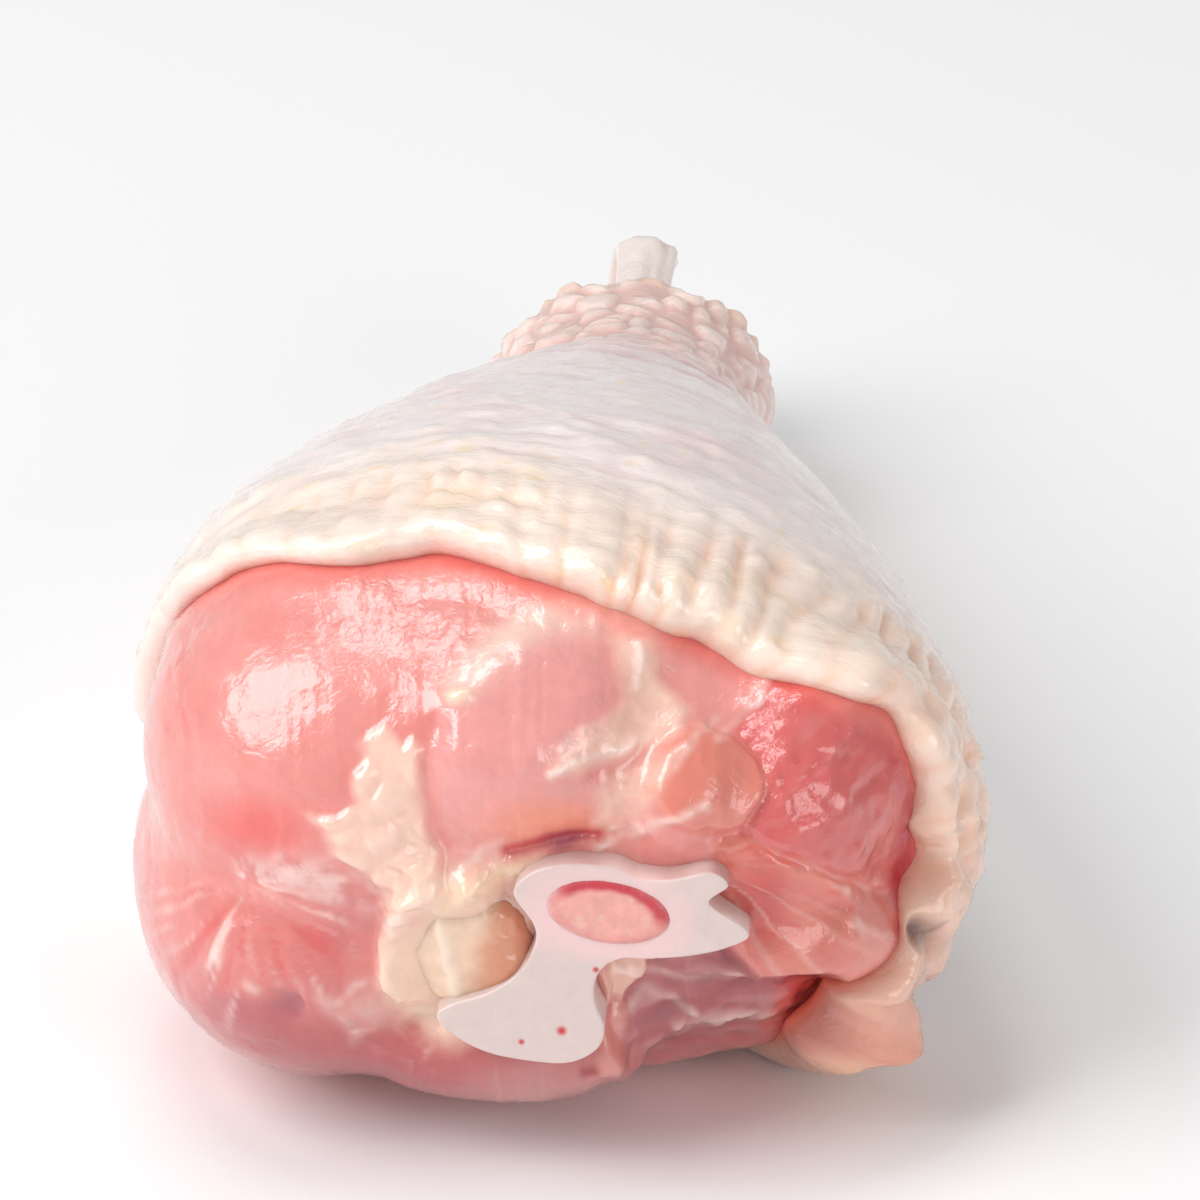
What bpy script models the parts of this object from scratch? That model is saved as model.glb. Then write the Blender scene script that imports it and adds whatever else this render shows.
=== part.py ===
"""A raw chicken drumstick resting on its side.

The cut knee end faces -Y and the ankle faces +Y. The meat runs the whole length, the skin
is a sleeve round it that is open at both ends, and the leg bone with its marrow runs
through the middle. A row and column grid is laid over a ball (the meat) and a ring (the
skin), and a formula moves each vertex out from the leg's centre line to the real surface.
Lengths below are millimetres; the finished meshes are in metres.
"""
import math

import bmesh
import bpy
import numpy as np
from mathutils import Matrix, Vector

MM = 0.001

# Outside form of the leg, from knee to ankle:
# place along Y, half width, half height, centre across, centre height, roll in degrees
STATIONS = np.array([
    (-34.0, 33.0, 24.0, -1.0, 22.6, -12.0),
    (-20.0, 30.0, 23.0, -1.5, 22.0, -11.0),
    (-4.0, 23.6, 20.4, -1.5, 20.2, -8.0),
    (12.0, 17.0, 16.2, -1.0, 17.8, -4.0),
    (26.0, 12.6, 12.6, 0.0, 15.0, 0.0),
    (38.0, 10.4, 10.2, 0.0, 13.0, 0.0),
    (46.0, 10.8, 10.0, 0.0, 11.8, 0.0),
    (53.0, 12.2, 10.4, 0.0, 10.9, 0.0),
])
KNEE_Y = STATIONS[0, 0]
ANKLE_Y = STATIONS[-1, 0]
KNEE_REACH = 24.5
ANKLE_REACH = 7.5
SQUARENESS = 2.35

# Muscles that bulge at the cut face: centre, half sizes, turn about Y in degrees
MUSCLES = {
    "outer upper": ((-14.5, -42.0, 29.0), (17.5, 16.5, 16.0), 0.0),
    "outer lower": ((-18.0, -38.5, 16.0), (15.5, 21.0, 15.0), 10.0),
    "crown": ((-3.0, -43.0, 34.6), (15.5, 15.5, 9.5), 12.0),
    "centre oval": ((-1.7, -48.5, 33.4), (9.6, 9.3, 6.0), -35.0),
    "inner": ((10.5, -49.0, 31.2), (6.0, 8.6, 6.6), 0.0),
    "inner right": ((17.0, -43.4, 27.0), (10.0, 13.6, 11.5), 25.0),
    "wedge": ((17.7, -48.6, 19.6), (9.0, 8.6, 5.4), 12.0),
    "under": ((-3.5, -48.6, 10.4), (15.5, 10.5, 7.2), 0.0),
}
MUSCLE_BLEND = 2.0
FACE_INSET = 1.6
SKIN_OVER_FORM = 1.5

# Skin: thickness, and where its front and rear edges run
SKIN_THICK = 1.7
LIP_THICK = 3.0
LIP_TAPER = 12.0
GAP = 0.4
FLOOR_SKIN = 1.5
DOME_ARC = 36.0
TUBE = ANKLE_Y - KNEE_Y
ANKLE_ARC = 12.0
# turn round the leg in degrees, 0 at +X and 90 on top, and distance back from the face's middle
FRONT_EDGE = [
    (0.0, 29.1), (12.0, 29.2), (23.0, 29.0), (38.0, 27.3), (60.0, 25.7), (83.0, 26.6),
    (97.0, 28.8), (111.0, 29.9), (126.0, 30.4), (141.0, 33.4), (154.0, 36.0), (166.0, 38.5),
    (182.0, 42.5), (202.0, 45.5), (225.0, 45.5), (250.0, 43.0), (270.0, 41.0), (290.0, 37.5),
    (308.0, 31.5), (322.0, 26.6), (334.0, 25.5), (348.0, 27.6),
]
REAR_EDGE = 116.5
REAR_SLANT = 2.6
REAR_SLANT_AT = 70.0
ANKLE_INSET = 2.4
# Fat lobes on the front edge: turn, spread in degrees, extra thickness, extra length
LOBES = [(329.0, 9.0, 2.0, 1.6), (347.0, 6.0, 0.7, 0.9)]

# Cut end of the leg bone: outline across and up from its centre, seen from the knee end
CUT_CENTRE = (5.0, -59.2, 21.0)
CUT_LEAN = 5.7
CUT_DEPTH = 4.6
CUT_TAPER = 6.5
CUT_TAPER_TO = 0.42
CUT_OUTLINE = [
    (-6.9, 4.9), (-5.4, 6.7), (-2.6, 7.5), (0.6, 7.3), (3.0, 6.4), (5.8, 6.6), (8.2, 7.2),
    (9.6, 6.1), (8.1, 4.6), (11.2, 2.2), (9.6, 0.9), (6.8, 0.1), (3.6, -0.3), (1.3, -0.4),
    (-0.3, -1.7), (-0.6, -3.9), (0.2, -6.3), (-0.4, -8.2), (-2.5, -9.4), (-5.4, -9.4),
    (-8.8, -8.8), (-11.5, -7.4), (-12.8, -5.8), (-11.7, -4.8), (-8.9, -3.7), (-6.5, -1.9),
    (-5.3, 0.4), (-5.3, 2.2),
]
# Bone behind the cut: centre, half width and half height
BONE = [
    ((4.9, -55.2, 22.2), 7.2, 6.2),
    ((4.2, -48.0, 21.2), 7.8, 6.8),
    ((3.2, -38.0, 20.2), 6.6, 6.0),
    ((2.4, -26.0, 19.8), 4.9, 4.8),
    ((1.4, -8.0, 18.6), 4.2, 4.1),
    ((0.6, 12.0, 16.4), 4.0, 3.9),
    ((0.2, 30.0, 13.4), 4.0, 3.8),
    ((0.0, 44.0, 11.4), 4.6, 4.0),
    ((0.0, 54.0, 10.8), 6.4, 4.4),
]
CONDYLES = [((-4.5, 58.2, 10.8), (4.3, 5.6, 5.4)), ((4.5, 58.2, 10.6), (4.3, 5.2, 5.1))]
MARROW = [
    ((5.4, -59.0, 24.6), 4.9, 2.6),
    ((5.2, -54.0, 24.1), 4.4, 2.6),
    ((4.6, -47.0, 21.8), 3.6, 2.8),
    ((3.2, -38.0, 20.2), 3.0, 2.8),
    ((2.4, -26.0, 19.8), 2.5, 2.5),
    ((1.4, -8.0, 18.6), 2.2, 2.2),
    ((0.6, 12.0, 16.4), 2.1, 2.1),
    ((0.2, 30.0, 13.4), 2.0, 2.0),
    ((0.1, 38.0, 12.2), 1.6, 1.6),
]
MARROW_TURN = -8.0
MARROW_GAP = 0.3
FIBULA = ((-5.2, -55.0, 19.9), (5.0, 4.7, 5.7))

# Cut tendons at the ankle: centres, half width, half height
ACHILLES = [
    ((0.4, 44.0, 18.9), 2.0, 1.1), ((0.4, 50.0, 18.8), 2.4, 1.5), ((0.4, 57.0, 18.8), 2.6, 1.7),
    ((0.5, 61.0, 19.0), 2.9, 1.9), ((0.6, 62.2, 19.1), 2.1, 1.3),
]
EXTENSOR = [
    ((-0.6, 47.0, 3.9), 1.6, 0.8), ((-0.6, 52.0, 3.7), 2.0, 1.0), ((-0.6, 58.6, 3.6), 2.1, 1.1),
    ((-0.6, 59.6, 3.6), 1.5, 0.7),
]

# Mesh rows and columns
COLUMNS = 52
FACE_ROWS = 15
COVERED_ROWS = 20
ANKLE_ROWS = 5
SKIN_ROWS = 19
LIP_ROWS = 5
RIM_ROWS = 3
BONE_POINTS = 28
MARROW_POINTS = 18
TENDON_POINTS = 14


def station(y, column):
    """Value of one column of STATIONS at y, on a smooth curve through the stations."""
    ys = STATIONS[:, 0]
    values = STATIONS[:, column]
    slopes = np.gradient(values, ys)
    slopes[0] = 0.0
    y = np.clip(y, ys[0], ys[-1])
    i = np.clip(np.searchsorted(ys, y) - 1, 0, len(ys) - 2)
    span = ys[i + 1] - ys[i]
    t = (y - ys[i]) / span
    start = (2*t**3 - 3*t**2 + 1) * values[i] + (t**3 - 2*t**2 + t) * span * slopes[i]
    end = (3*t**2 - 2*t**3) * values[i + 1] + (t**3 - t**2) * span * slopes[i + 1]
    return start + end


def smooth_step(low, high, value):
    """0 below low, 1 above high and a smooth rise between."""
    t = np.clip((value - low) / (high - low), 0.0, 1.0)
    return t * t * (3.0 - 2.0 * t)


def joined(a, b, blend):
    """Distance to two forms melted together over the blend width."""
    h = np.clip(0.5 + 0.5 * (b - a) / blend, 0.0, 1.0)
    return b + (a - b) * h - blend * h * (1.0 - h)


def leg_form(point):
    """Distance outside the leg's smooth form, negative inside it."""
    y = point[..., 1]
    width, height, centre_x, centre_z, roll = (station(y, c) for c in range(1, 6))
    c = np.cos(np.radians(roll))
    s = np.sin(np.radians(roll))
    x = point[..., 0] - centre_x
    z = point[..., 2] - centre_z
    across = (((x*c + z*s) / width)**2 + ((z*c - x*s) / height)**2) ** (SQUARENESS / 2)
    front = np.clip((KNEE_Y - y) / KNEE_REACH, 0.0, None) ** SQUARENESS
    rear = np.clip((y - ANKLE_Y) / ANKLE_REACH, 0.0, None) ** SQUARENESS
    return ((across + front + rear) ** (1 / SQUARENESS) - 1) * np.minimum(width, height)


def ball_form(point, centre, half, turn):
    """Distance outside a stretched ball that is turned about Y."""
    c = math.cos(math.radians(turn))
    s = math.sin(math.radians(turn))
    q = point - np.array(centre)
    local = np.stack([q[..., 0]*c - q[..., 2]*s, q[..., 1], q[..., 0]*s + q[..., 2]*c], -1)
    half = np.array(half)
    k = np.linalg.norm(local / half, axis=-1)
    return k * (k - 1.0) / (np.linalg.norm(local / half**2, axis=-1) + 1e-9)


def meat_form(point):
    """Distance outside the bare meat: the inset leg and its bulging muscles."""
    distance = leg_form(point) + FACE_INSET
    for centre, half, turn in MUSCLES.values():
        distance = joined(distance, ball_form(point, centre, half, turn), MUSCLE_BLEND)
    return distance


def skin_form(point):
    """Distance outside the leg with its skin on."""
    return leg_form(point) - SKIN_OVER_FORM


def ray(along, turn):
    """Start and direction of the line out from the spine at a place on the surface."""
    lean = math.pi / 2 * np.clip(along / DOME_ARC, 0.0, 1.0)
    back = math.pi / 2 * np.clip((along - DOME_ARC - TUBE) / ANKLE_ARC, 0.0, 1.0)
    y = KNEE_Y + np.clip(along - DOME_ARC, 0.0, TUBE)
    start = np.stack([station(y, 3), y, station(y, 4)], -1)
    side = np.sin(lean) * np.cos(back)
    way = np.stack([np.cos(turn) * side, np.sin(back) - np.cos(lean), np.sin(turn) * side], -1)
    return start, way


def reach(form, start, way):
    """Distance along each ray to the surface of a form, by halving."""
    near = np.zeros(way.shape[:-1])
    far = near + 70.0
    for _ in range(26):
        middle = (near + far) / 2
        inside = form(start + way * middle[..., None]) < 0
        near = np.where(inside, middle, near)
        far = np.where(inside, far, middle)
    return near


def bump(turn, at, spread):
    """1 at one turn round the leg, falling to 0 over the spread in degrees."""
    off = (np.degrees(turn) - at + 180.0) % 360.0 - 180.0
    return np.exp(-(off / spread) ** 2)


def front_edge(turn):
    """Where the skin's front edge lies, with its waves and lobes."""
    turns = [t for t, _ in FRONT_EDGE] + [360.0]
    places = [a for _, a in FRONT_EDGE] + [FRONT_EDGE[0][1]]
    edge = np.interp(np.degrees(turn) % 360.0, turns, places)
    edge = edge + 0.35 * np.sin(7 * turn + 0.8) + 0.25 * np.sin(13 * turn + 2.1)
    for at, spread, _, longer in LOBES:
        edge = edge - longer * bump(turn, at, spread)
    return edge


def rear_edge(turn):
    """Where the skin's edge at the ankle lies: a slanted, slightly wavy ring."""
    slant = REAR_SLANT * np.cos(turn - math.radians(REAR_SLANT_AT))
    return REAR_EDGE + slant + 0.3 * np.sin(5 * turn)


def lip_thickness(turn):
    """Thickness of the rolled fatty edge round the leg."""
    thick = LIP_THICK + 0.35 * np.sin(3 * turn + 0.4) + 0.25 * np.sin(8 * turn)
    for at, spread, extra, _ in LOBES:
        thick = thick + extra * bump(turn, at, spread)
    return thick


def floor_reach(start, way, level):
    """Distance along each ray down to a level plane, or a long way if it points up."""
    down = np.clip(-way[..., 2], 1e-6, None)
    return np.where(way[..., 2] < -1e-6, (start[..., 2] - level) / down, 1e6)


def layers(along, turn):
    """Start and way of each ray, and its reach to the meat, skin inside and skin outside."""
    start, way = ray(along, turn)
    bare = reach(meat_form, start, way)
    edge = front_edge(turn)
    covered = smooth_step(edge, edge + LIP_TAPER, along)
    thick = lip_thickness(turn) * (1 - covered) + SKIN_THICK * covered
    outside = np.maximum(reach(skin_form, start, way), bare + GAP + thick)
    meat = np.maximum(bare, (outside - thick - GAP) * covered + bare * (1 - covered))
    rear = rear_edge(turn)
    meat = meat - ANKLE_INSET * smooth_step(rear + 0.8, rear + 5.5, along)
    raised = smooth_step(edge - 7.0, edge - 3.0, along)
    meat = np.minimum(meat, floor_reach(start, way, (FLOOR_SKIN + GAP) * raised))
    inside = np.minimum(meat + GAP, floor_reach(start, way, FLOOR_SKIN))
    outside = np.minimum(outside, floor_reach(start, way, 0.0))
    return start, way, meat, inside, outside


def principled(name, colour, roughness):
    """A plain Principled BSDF material."""
    material = bpy.data.materials.new(name)
    material.use_nodes = True
    shader = material.node_tree.nodes["Principled BSDF"]
    shader.inputs["Base Color"].default_value = (*colour, 1.0)
    shader.inputs["Roughness"].default_value = roughness
    material.diffuse_color = (*colour, 1.0)
    return material


def add_object(name, bm, material=None):
    """Put a finished bmesh into the scene as one closed object facing out."""
    bmesh.ops.recalc_face_normals(bm, faces=bm.faces[:])
    mesh = bpy.data.meshes.new(name)
    bm.to_mesh(mesh)
    bm.free()
    thing = bpy.data.objects.new(name, mesh)
    bpy.context.collection.objects.link(thing)
    if material:
        mesh.materials.append(material)
    else:
        thing.hide_render = True
        thing.display_type = "WIRE"
    return thing


def move_vertices(bm, places):
    """Give every vertex its new place, stated in millimetres."""
    for vertex, place in zip(bm.verts, places):
        vertex.co = Vector(place) * MM


def meat_body(material):
    """The meat: a ball whose rows follow the skin's edges."""
    rows = FACE_ROWS + COVERED_ROWS + ANKLE_ROWS
    bm = bmesh.new()
    bmesh.ops.create_uvsphere(bm, u_segments=COLUMNS, v_segments=rows, radius=1.0)
    ball = np.array([v.co for v in bm.verts])
    row = np.arccos(np.clip(-ball[:, 2], -1.0, 1.0)) / math.pi * rows
    turn = np.arctan2(ball[:, 1], ball[:, 0])
    front = front_edge(turn)
    rear = rear_edge(turn)
    on_face = np.clip(row / FACE_ROWS, 0.0, 1.0)
    in_skin = np.clip((row - FACE_ROWS) / COVERED_ROWS, 0.0, 1.0)
    at_ankle = np.clip((row - FACE_ROWS - COVERED_ROWS) / ANKLE_ROWS, 0.0, 1.0)
    end = DOME_ARC + TUBE + ANKLE_ARC
    along = front * on_face + (rear - front) * in_skin**1.25 + (end - rear) * at_ankle
    start, way, meat, _, _ = layers(along, turn)
    move_vertices(bm, start + way * meat[:, None])
    return add_object("meat", bm, material)


def skin_body(material):
    """The skin: a ring whose section runs out, round the lip, back inside and round the rim."""
    section = 2 * SKIN_ROWS + LIP_ROWS + RIM_ROWS
    bpy.ops.mesh.primitive_torus_add(
        major_segments=COLUMNS, minor_segments=section, major_radius=2.0, minor_radius=1.0)
    ring = bpy.context.object
    bm = bmesh.new()
    bm.from_mesh(ring.data)
    bpy.data.objects.remove(ring, do_unlink=True)
    torus = np.array([v.co for v in bm.verts])
    turn = np.arctan2(torus[:, 1], torus[:, 0])
    out = np.hypot(torus[:, 0], torus[:, 1]) - 2.0
    place = np.round((np.arctan2(torus[:, 2], out) % (2 * math.pi)) / (2 * math.pi) * section)
    place = place % section
    front = front_edge(turn)
    rear = rear_edge(turn)
    half = lip_thickness(turn) / 2
    outer = place / (SKIN_ROWS - 1)
    lip = (place - SKIN_ROWS + 1) / (LIP_ROWS + 1) * math.pi
    inner = 1 - (place - SKIN_ROWS - LIP_ROWS) / (SKIN_ROWS - 1)
    rim = (place - 2 * SKIN_ROWS - LIP_ROWS + 1) / (RIM_ROWS + 1) * math.pi
    on_outer = place < SKIN_ROWS
    on_lip = (place >= SKIN_ROWS) & (place < SKIN_ROWS + LIP_ROWS)
    on_inner = (place >= SKIN_ROWS + LIP_ROWS) & (place < 2 * SKIN_ROWS + LIP_ROWS)
    length = rear - front
    along = rear + half * 0.5 * np.sin(rim)
    for rows, share in ((on_outer, outer), (on_inner, inner)):
        nearness = np.clip(1 - share, 0.0, 1.0) ** 1.25
        along = np.where(rows, front + length * nearness, along)
    along = np.where(on_lip, front - half * np.sin(lip), along)
    share = np.where(on_lip, (1 + np.cos(lip)) / 2, (1 - np.cos(rim)) / 2)
    share = np.where(on_outer, 1.0, np.where(on_inner, 0.0, share))
    start, way, _, inside, outside = layers(along, turn)
    distance = inside + (outside - inside) * share
    move_vertices(bm, start + way * distance[:, None])
    return add_object("skin", bm, material)


def loft(name, rings, material=None):
    """A closed body through rings of equally many points."""
    bm = bmesh.new()
    loops = [[bm.verts.new(Vector(p) * MM) for p in ring] for ring in rings]
    for first, second in zip(loops, loops[1:]):
        for i in range(len(first)):
            j = (i + 1) % len(first)
            bm.faces.new((first[i], first[j], second[j], second[i]))
    bm.faces.new(loops[0])
    bm.faces.new(list(reversed(loops[-1])))
    bmesh.ops.triangulate(bm, faces=[f for f in bm.faces if len(f.verts) > 4])
    return add_object(name, bm, material)


def oval_ring(centre, width, height, points, turn=0.0):
    """Points of an oval across the leg."""
    c = math.cos(math.radians(turn))
    s = math.sin(math.radians(turn))
    ring = []
    for i in range(points):
        a = 2 * math.pi * i / points
        x = width * math.cos(a)
        z = height * math.sin(a)
        ring.append((centre[0] + x*c - z*s, centre[1], centre[2] + x*s + z*c))
    return ring


def oval_rod(name, sections, points, grow, lengthen, turn=0.0, material=None):
    """A rod of ovals, grown all round and lengthened at both ends."""
    rings = []
    last = len(sections) - 1
    for i, (centre, width, height) in enumerate(sections):
        y = centre[1] + (-lengthen if i == 0 else lengthen if i == last else 0.0)
        rings.append(oval_ring((centre[0], y, centre[2]), width + grow, height + grow, points, turn))
    return loft(name, rings, material)


def stretched_ball(name, centre, half, grow=0.0, material=None, fineness=3):
    """A ball stretched to its half sizes."""
    bm = bmesh.new()
    bmesh.ops.create_icosphere(bm, subdivisions=fineness, radius=1.0)
    size = [(h + grow) * MM for h in half]
    bmesh.ops.transform(bm, matrix=Matrix.Diagonal((*size, 1.0)), verts=bm.verts[:])
    bmesh.ops.translate(bm, vec=Vector(centre) * MM, verts=bm.verts[:])
    return add_object(name, bm, material)


def cut_slice(name, grow, deepen, material=None):
    """The fishtail end of the bone: its outline drawn out along the leg."""
    outline = [Vector(p) for p in CUT_OUTLINE]
    count = len(outline)
    grown = []
    for i, point in enumerate(outline):
        run = (outline[(i + 1) % count] - outline[i - 1]).normalized()
        grown.append(point + Vector((-run.y, run.x)) * grow)
    lean = math.tan(math.radians(CUT_LEAN))
    back = CUT_DEPTH + CUT_TAPER
    bevel = 0.0 if deepen else 0.35
    steps = [(-deepen, 1 - bevel / 8), (bevel - deepen, 1.0), (CUT_DEPTH, 1.0), (back, CUT_TAPER_TO)]
    rings = []
    for depth, share in steps:
        ring = []
        for p in grown:
            x = p.x * share
            z = p.y * share
            ring.append((CUT_CENTRE[0] + x, CUT_CENTRE[1] + z * lean + depth, CUT_CENTRE[2] + z))
        rings.append(ring)
    return loft(name, rings, material)


def combine(target, tool, operation, solver="MANIFOLD"):
    """Apply one Boolean to the target and drop the tool."""
    change = target.modifiers.new(operation, "BOOLEAN")
    change.operation = operation
    change.solver = solver
    change.object = tool
    graph = bpy.context.evaluated_depsgraph_get()
    result = bpy.data.meshes.new_from_object(target.evaluated_get(graph))
    target.modifiers.clear()
    old = target.data
    target.data = result
    result.name = target.name
    bpy.data.meshes.remove(old)
    bpy.data.objects.remove(tool, do_unlink=True)


def whole_bone(name, grow, deepen, material=None):
    """Cut end, shaft and ankle knuckles as one body, grown all round where it is a cutter."""
    bone = cut_slice(name, grow, deepen, material)
    combine(bone, oval_rod("shaft", BONE, BONE_POINTS, grow, grow), "UNION")
    for centre, half in CONDYLES:
        combine(bone, stretched_ball("knuckle", centre, half, grow, fineness=2), "UNION")
    return bone


def make_triangles(thing):
    """Split the object's faces into triangles."""
    bm = bmesh.new()
    bm.from_mesh(thing.data)
    bmesh.ops.triangulate(bm, faces=bm.faces[:])
    bm.to_mesh(thing.data)
    bm.free()


def rest_on_origin(things):
    """Slide everything so that the whole stands on the origin, centred."""
    corners = [v.co for thing in things for v in thing.data.vertices]
    low = Vector([min(c[i] for c in corners) for i in range(3)])
    high = Vector([max(c[i] for c in corners) for i in range(3)])
    slide = Vector((-(low.x + high.x) / 2, -(low.y + high.y) / 2, -low.z))
    for thing in things:
        thing.data.transform(Matrix.Translation(slide))
    print("slide", [round(v / MM, 4) for v in slide])


def main():
    """Build the drumstick."""
    for thing in list(bpy.data.objects):
        bpy.data.objects.remove(thing, do_unlink=True)
    red = principled("raw meat", (0.78, 0.30, 0.26), 0.35)
    cream = principled("skin", (0.90, 0.72, 0.64), 0.45)
    white = principled("bone", (0.88, 0.82, 0.78), 0.40)
    pink = principled("marrow", (0.80, 0.42, 0.36), 0.45)
    yellow = principled("gristle", (0.85, 0.66, 0.48), 0.40)
    pale = principled("tendon", (0.90, 0.86, 0.84), 0.40)

    meat = meat_body(red)
    skin = skin_body(cream)
    bone = whole_bone("tibia", 0.0, 0.0, white)
    combine(bone, oval_rod("hollow", MARROW, MARROW_POINTS, MARROW_GAP, MARROW_GAP + 2.0,
                           MARROW_TURN), "DIFFERENCE")
    marrow = oval_rod("marrow", MARROW, MARROW_POINTS, 0.0, 0.0, MARROW_TURN, pink)
    centre, half = FIBULA
    fibula = stretched_ball("fibula_head", centre, half, 0.0, yellow)
    combine(fibula, whole_bone("clear of bone", GAP, 6.0), "DIFFERENCE")
    achilles = oval_rod("achilles_tendon", ACHILLES, TENDON_POINTS, 0.0, 0.0, 0.0, pale)
    extensor = oval_rod("extensor_tendon", EXTENSOR, TENDON_POINTS, 0.0, 0.0, 0.0, pale)

    combine(meat, whole_bone("bone pocket", GAP, 6.0), "DIFFERENCE")
    combine(meat, stretched_ball("fibula pocket", centre, half, GAP), "DIFFERENCE")
    for sections in (ACHILLES, EXTENSOR):
        combine(meat, oval_rod("tendon pocket", sections, TENDON_POINTS, GAP, GAP), "DIFFERENCE")

    things = [meat, skin, bone, marrow, fibula, achilles, extensor]
    for thing in things:
        make_triangles(thing)
    rest_on_origin(things)


main()
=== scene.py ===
"""Looks, light and camera for the raw chicken drumstick.

The same formulas as in part.py give the form, on much finer grids, and relief and colour are
laid over it. Marks on the cut face are named places in the 1200 pixel wide photograph, and
each vertex finds its own place in the photograph through the photograph's camera.
Lengths are millimetres; finished meshes are in metres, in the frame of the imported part.
"""
import itertools
from math import cos, pi, radians, sin, tan
from types import SimpleNamespace

import bmesh
import bpy
import numpy as np
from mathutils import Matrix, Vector


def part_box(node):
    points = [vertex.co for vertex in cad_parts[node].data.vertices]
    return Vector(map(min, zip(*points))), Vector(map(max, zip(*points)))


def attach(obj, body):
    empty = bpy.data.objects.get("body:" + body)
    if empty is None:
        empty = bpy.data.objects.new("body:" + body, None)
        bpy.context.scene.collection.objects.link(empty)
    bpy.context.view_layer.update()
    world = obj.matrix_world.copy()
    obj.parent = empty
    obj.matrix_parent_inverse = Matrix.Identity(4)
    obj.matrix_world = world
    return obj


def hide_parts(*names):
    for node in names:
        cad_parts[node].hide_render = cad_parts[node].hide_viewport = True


MM = 0.001

# The leg's form, as in part.py:
# place along Y, half width, half height, centre across, centre height, roll in degrees
STATIONS = np.array([
    (-34, 33, 24, -1, 22.6, -12),
    (-20, 30, 23, -1.5, 22, -11),
    (-4, 23.6, 20.4, -1.5, 20.2, -8),
    (12, 17, 16.2, -1, 17.8, -4),
    (26, 12.6, 12.6, 0, 15, 0),
    (38, 10.4, 10.2, 0, 13, 0),
    (46, 10.8, 10, 0, 11.8, 0),
    (53, 12.2, 10.4, 0, 10.9, 0),
])
KNEE_Y = STATIONS[0, 0]
ANKLE_Y = STATIONS[-1, 0]
KNEE_REACH = 24.5
ANKLE_REACH = 7.5
SQUARENESS = 2.35
MUSCLES = {
    "outer upper": ((-14.5, -42, 29), (17.5, 16.5, 16), 0),
    "outer lower": ((-18, -38.5, 16), (15.5, 21, 15), 10),
    "crown": ((-3, -43, 34.6), (15.5, 15.5, 9.5), 12),
    "centre oval": ((-1.7, -48.5, 33.4), (9.6, 9.3, 6), -35),
    "inner": ((10.5, -49, 31.2), (6, 8.6, 6.6), 0),
    "inner right": ((17, -43.4, 27), (10, 13.6, 11.5), 25),
    "wedge": ((17.7, -48.6, 19.6), (9, 8.6, 5.4), 12),
    "under": ((-3.5, -48.6, 10.4), (15.5, 10.5, 7.2), 0),
}
MUSCLE_BLEND = 2.0
FACE_INSET = 1.6
SKIN_OVER_FORM = 1.5
SKIN_THICK = 1.7
LIP_THICK = 3.0
LIP_TAPER = 12.0
GAP = 0.4
FLOOR_SKIN = 1.5
DOME_ARC = 36.0
TUBE = ANKLE_Y - KNEE_Y
ANKLE_ARC = 12.0
END = DOME_ARC + TUBE + ANKLE_ARC
FRONT_EDGE = [
    (0, 29.1), (12, 29.2), (23, 29), (38, 27.3), (60, 25.7), (83, 26.6),
    (97, 28.8), (111, 29.9), (126, 30.4), (141, 33.4), (154, 36), (166, 38.5),
    (182, 42.5), (202, 45.5), (225, 45.5), (250, 43), (270, 41), (290, 37.5),
    (308, 31.5), (322, 26.6), (334, 25.5), (348, 27.6),
]
REAR_EDGE = 116.5
REAR_SLANT = 2.6
REAR_SLANT_AT = 70.0
ANKLE_INSET = 2.4
LOBES = [(329, 9, 2, 1.6), (347, 6, 0.7, 0.9)]
CUT_CENTRE = (5, -59.2, 21)
CUT_LEAN = 5.7
CUT_DEPTH = 4.6
CUT_TAPER = 6.5
CUT_TAPER_TO = 0.42
CUT_OUTLINE = [
    (-6.9, 4.9), (-5.4, 6.7), (-2.6, 7.5), (0.6, 7.3), (3, 6.4), (5.8, 6.6), (8.2, 7.2),
    (9.6, 6.1), (8.1, 4.6), (11.2, 2.2), (9.6, 0.9), (6.8, 0.1), (3.6, -0.3), (1.3, -0.4),
    (-0.3, -1.7), (-0.6, -3.9), (0.2, -6.3), (-0.4, -8.2), (-2.5, -9.4), (-5.4, -9.4),
    (-8.8, -8.8), (-11.5, -7.4), (-12.8, -5.8), (-11.7, -4.8), (-8.9, -3.7), (-6.5, -1.9),
    (-5.3, 0.4), (-5.3, 2.2),
]
CUT_NOTCH = (8.1, 4.6)
# Rings of the cut end: depth, how far its edge is grown, share of its size
CUT_STEPS = [
    (0, -0.3, 1), (0, -0.22, 1), (0.02, -0.13, 1), (0.07, -0.05, 1),
    (0.18, -0.01, 1), (0.34, 0, 1), (CUT_DEPTH, 0, 1),
    (CUT_DEPTH + CUT_TAPER, 0, CUT_TAPER_TO),
]
KNUCKLES = [((-4.5, 58.2, 10.8), (4.3, 5.6, 5.4)), ((4.5, 58.2, 10.6), (4.3, 5.2, 5.1))]
KNUCKLE_MIDDLE = (0, 55, 10.8)
SHAFT_END = ((0, 52, 10.8), (6.2, 7, 4.4))
MARROW_FACE = ((5.4, -59, 24.6), 4.9, 2.6, -8)
MARROW_SUNK = 2.0
FIBULA = ((-5.2, -55, 19.9), (5, 4.7, 5.7))
ACHILLES = [
    ((0.4, 44, 18.9), 2, 1.1), ((0.4, 50, 18.8), 2.4, 1.5), ((0.4, 57, 18.8), 2.6, 1.7),
    ((0.5, 61, 19), 2.9, 1.9), ((0.6, 62.2, 19.1), 2.1, 1.3),
]
EXTENSOR = [
    ((-0.6, 47, 3.9), 1.6, 0.8), ((-0.6, 52, 3.7), 2, 1), ((-0.6, 58.6, 3.6), 2.1, 1.1),
    ((-0.6, 59.6, 3.6), 1.5, 0.7),
]
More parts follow.
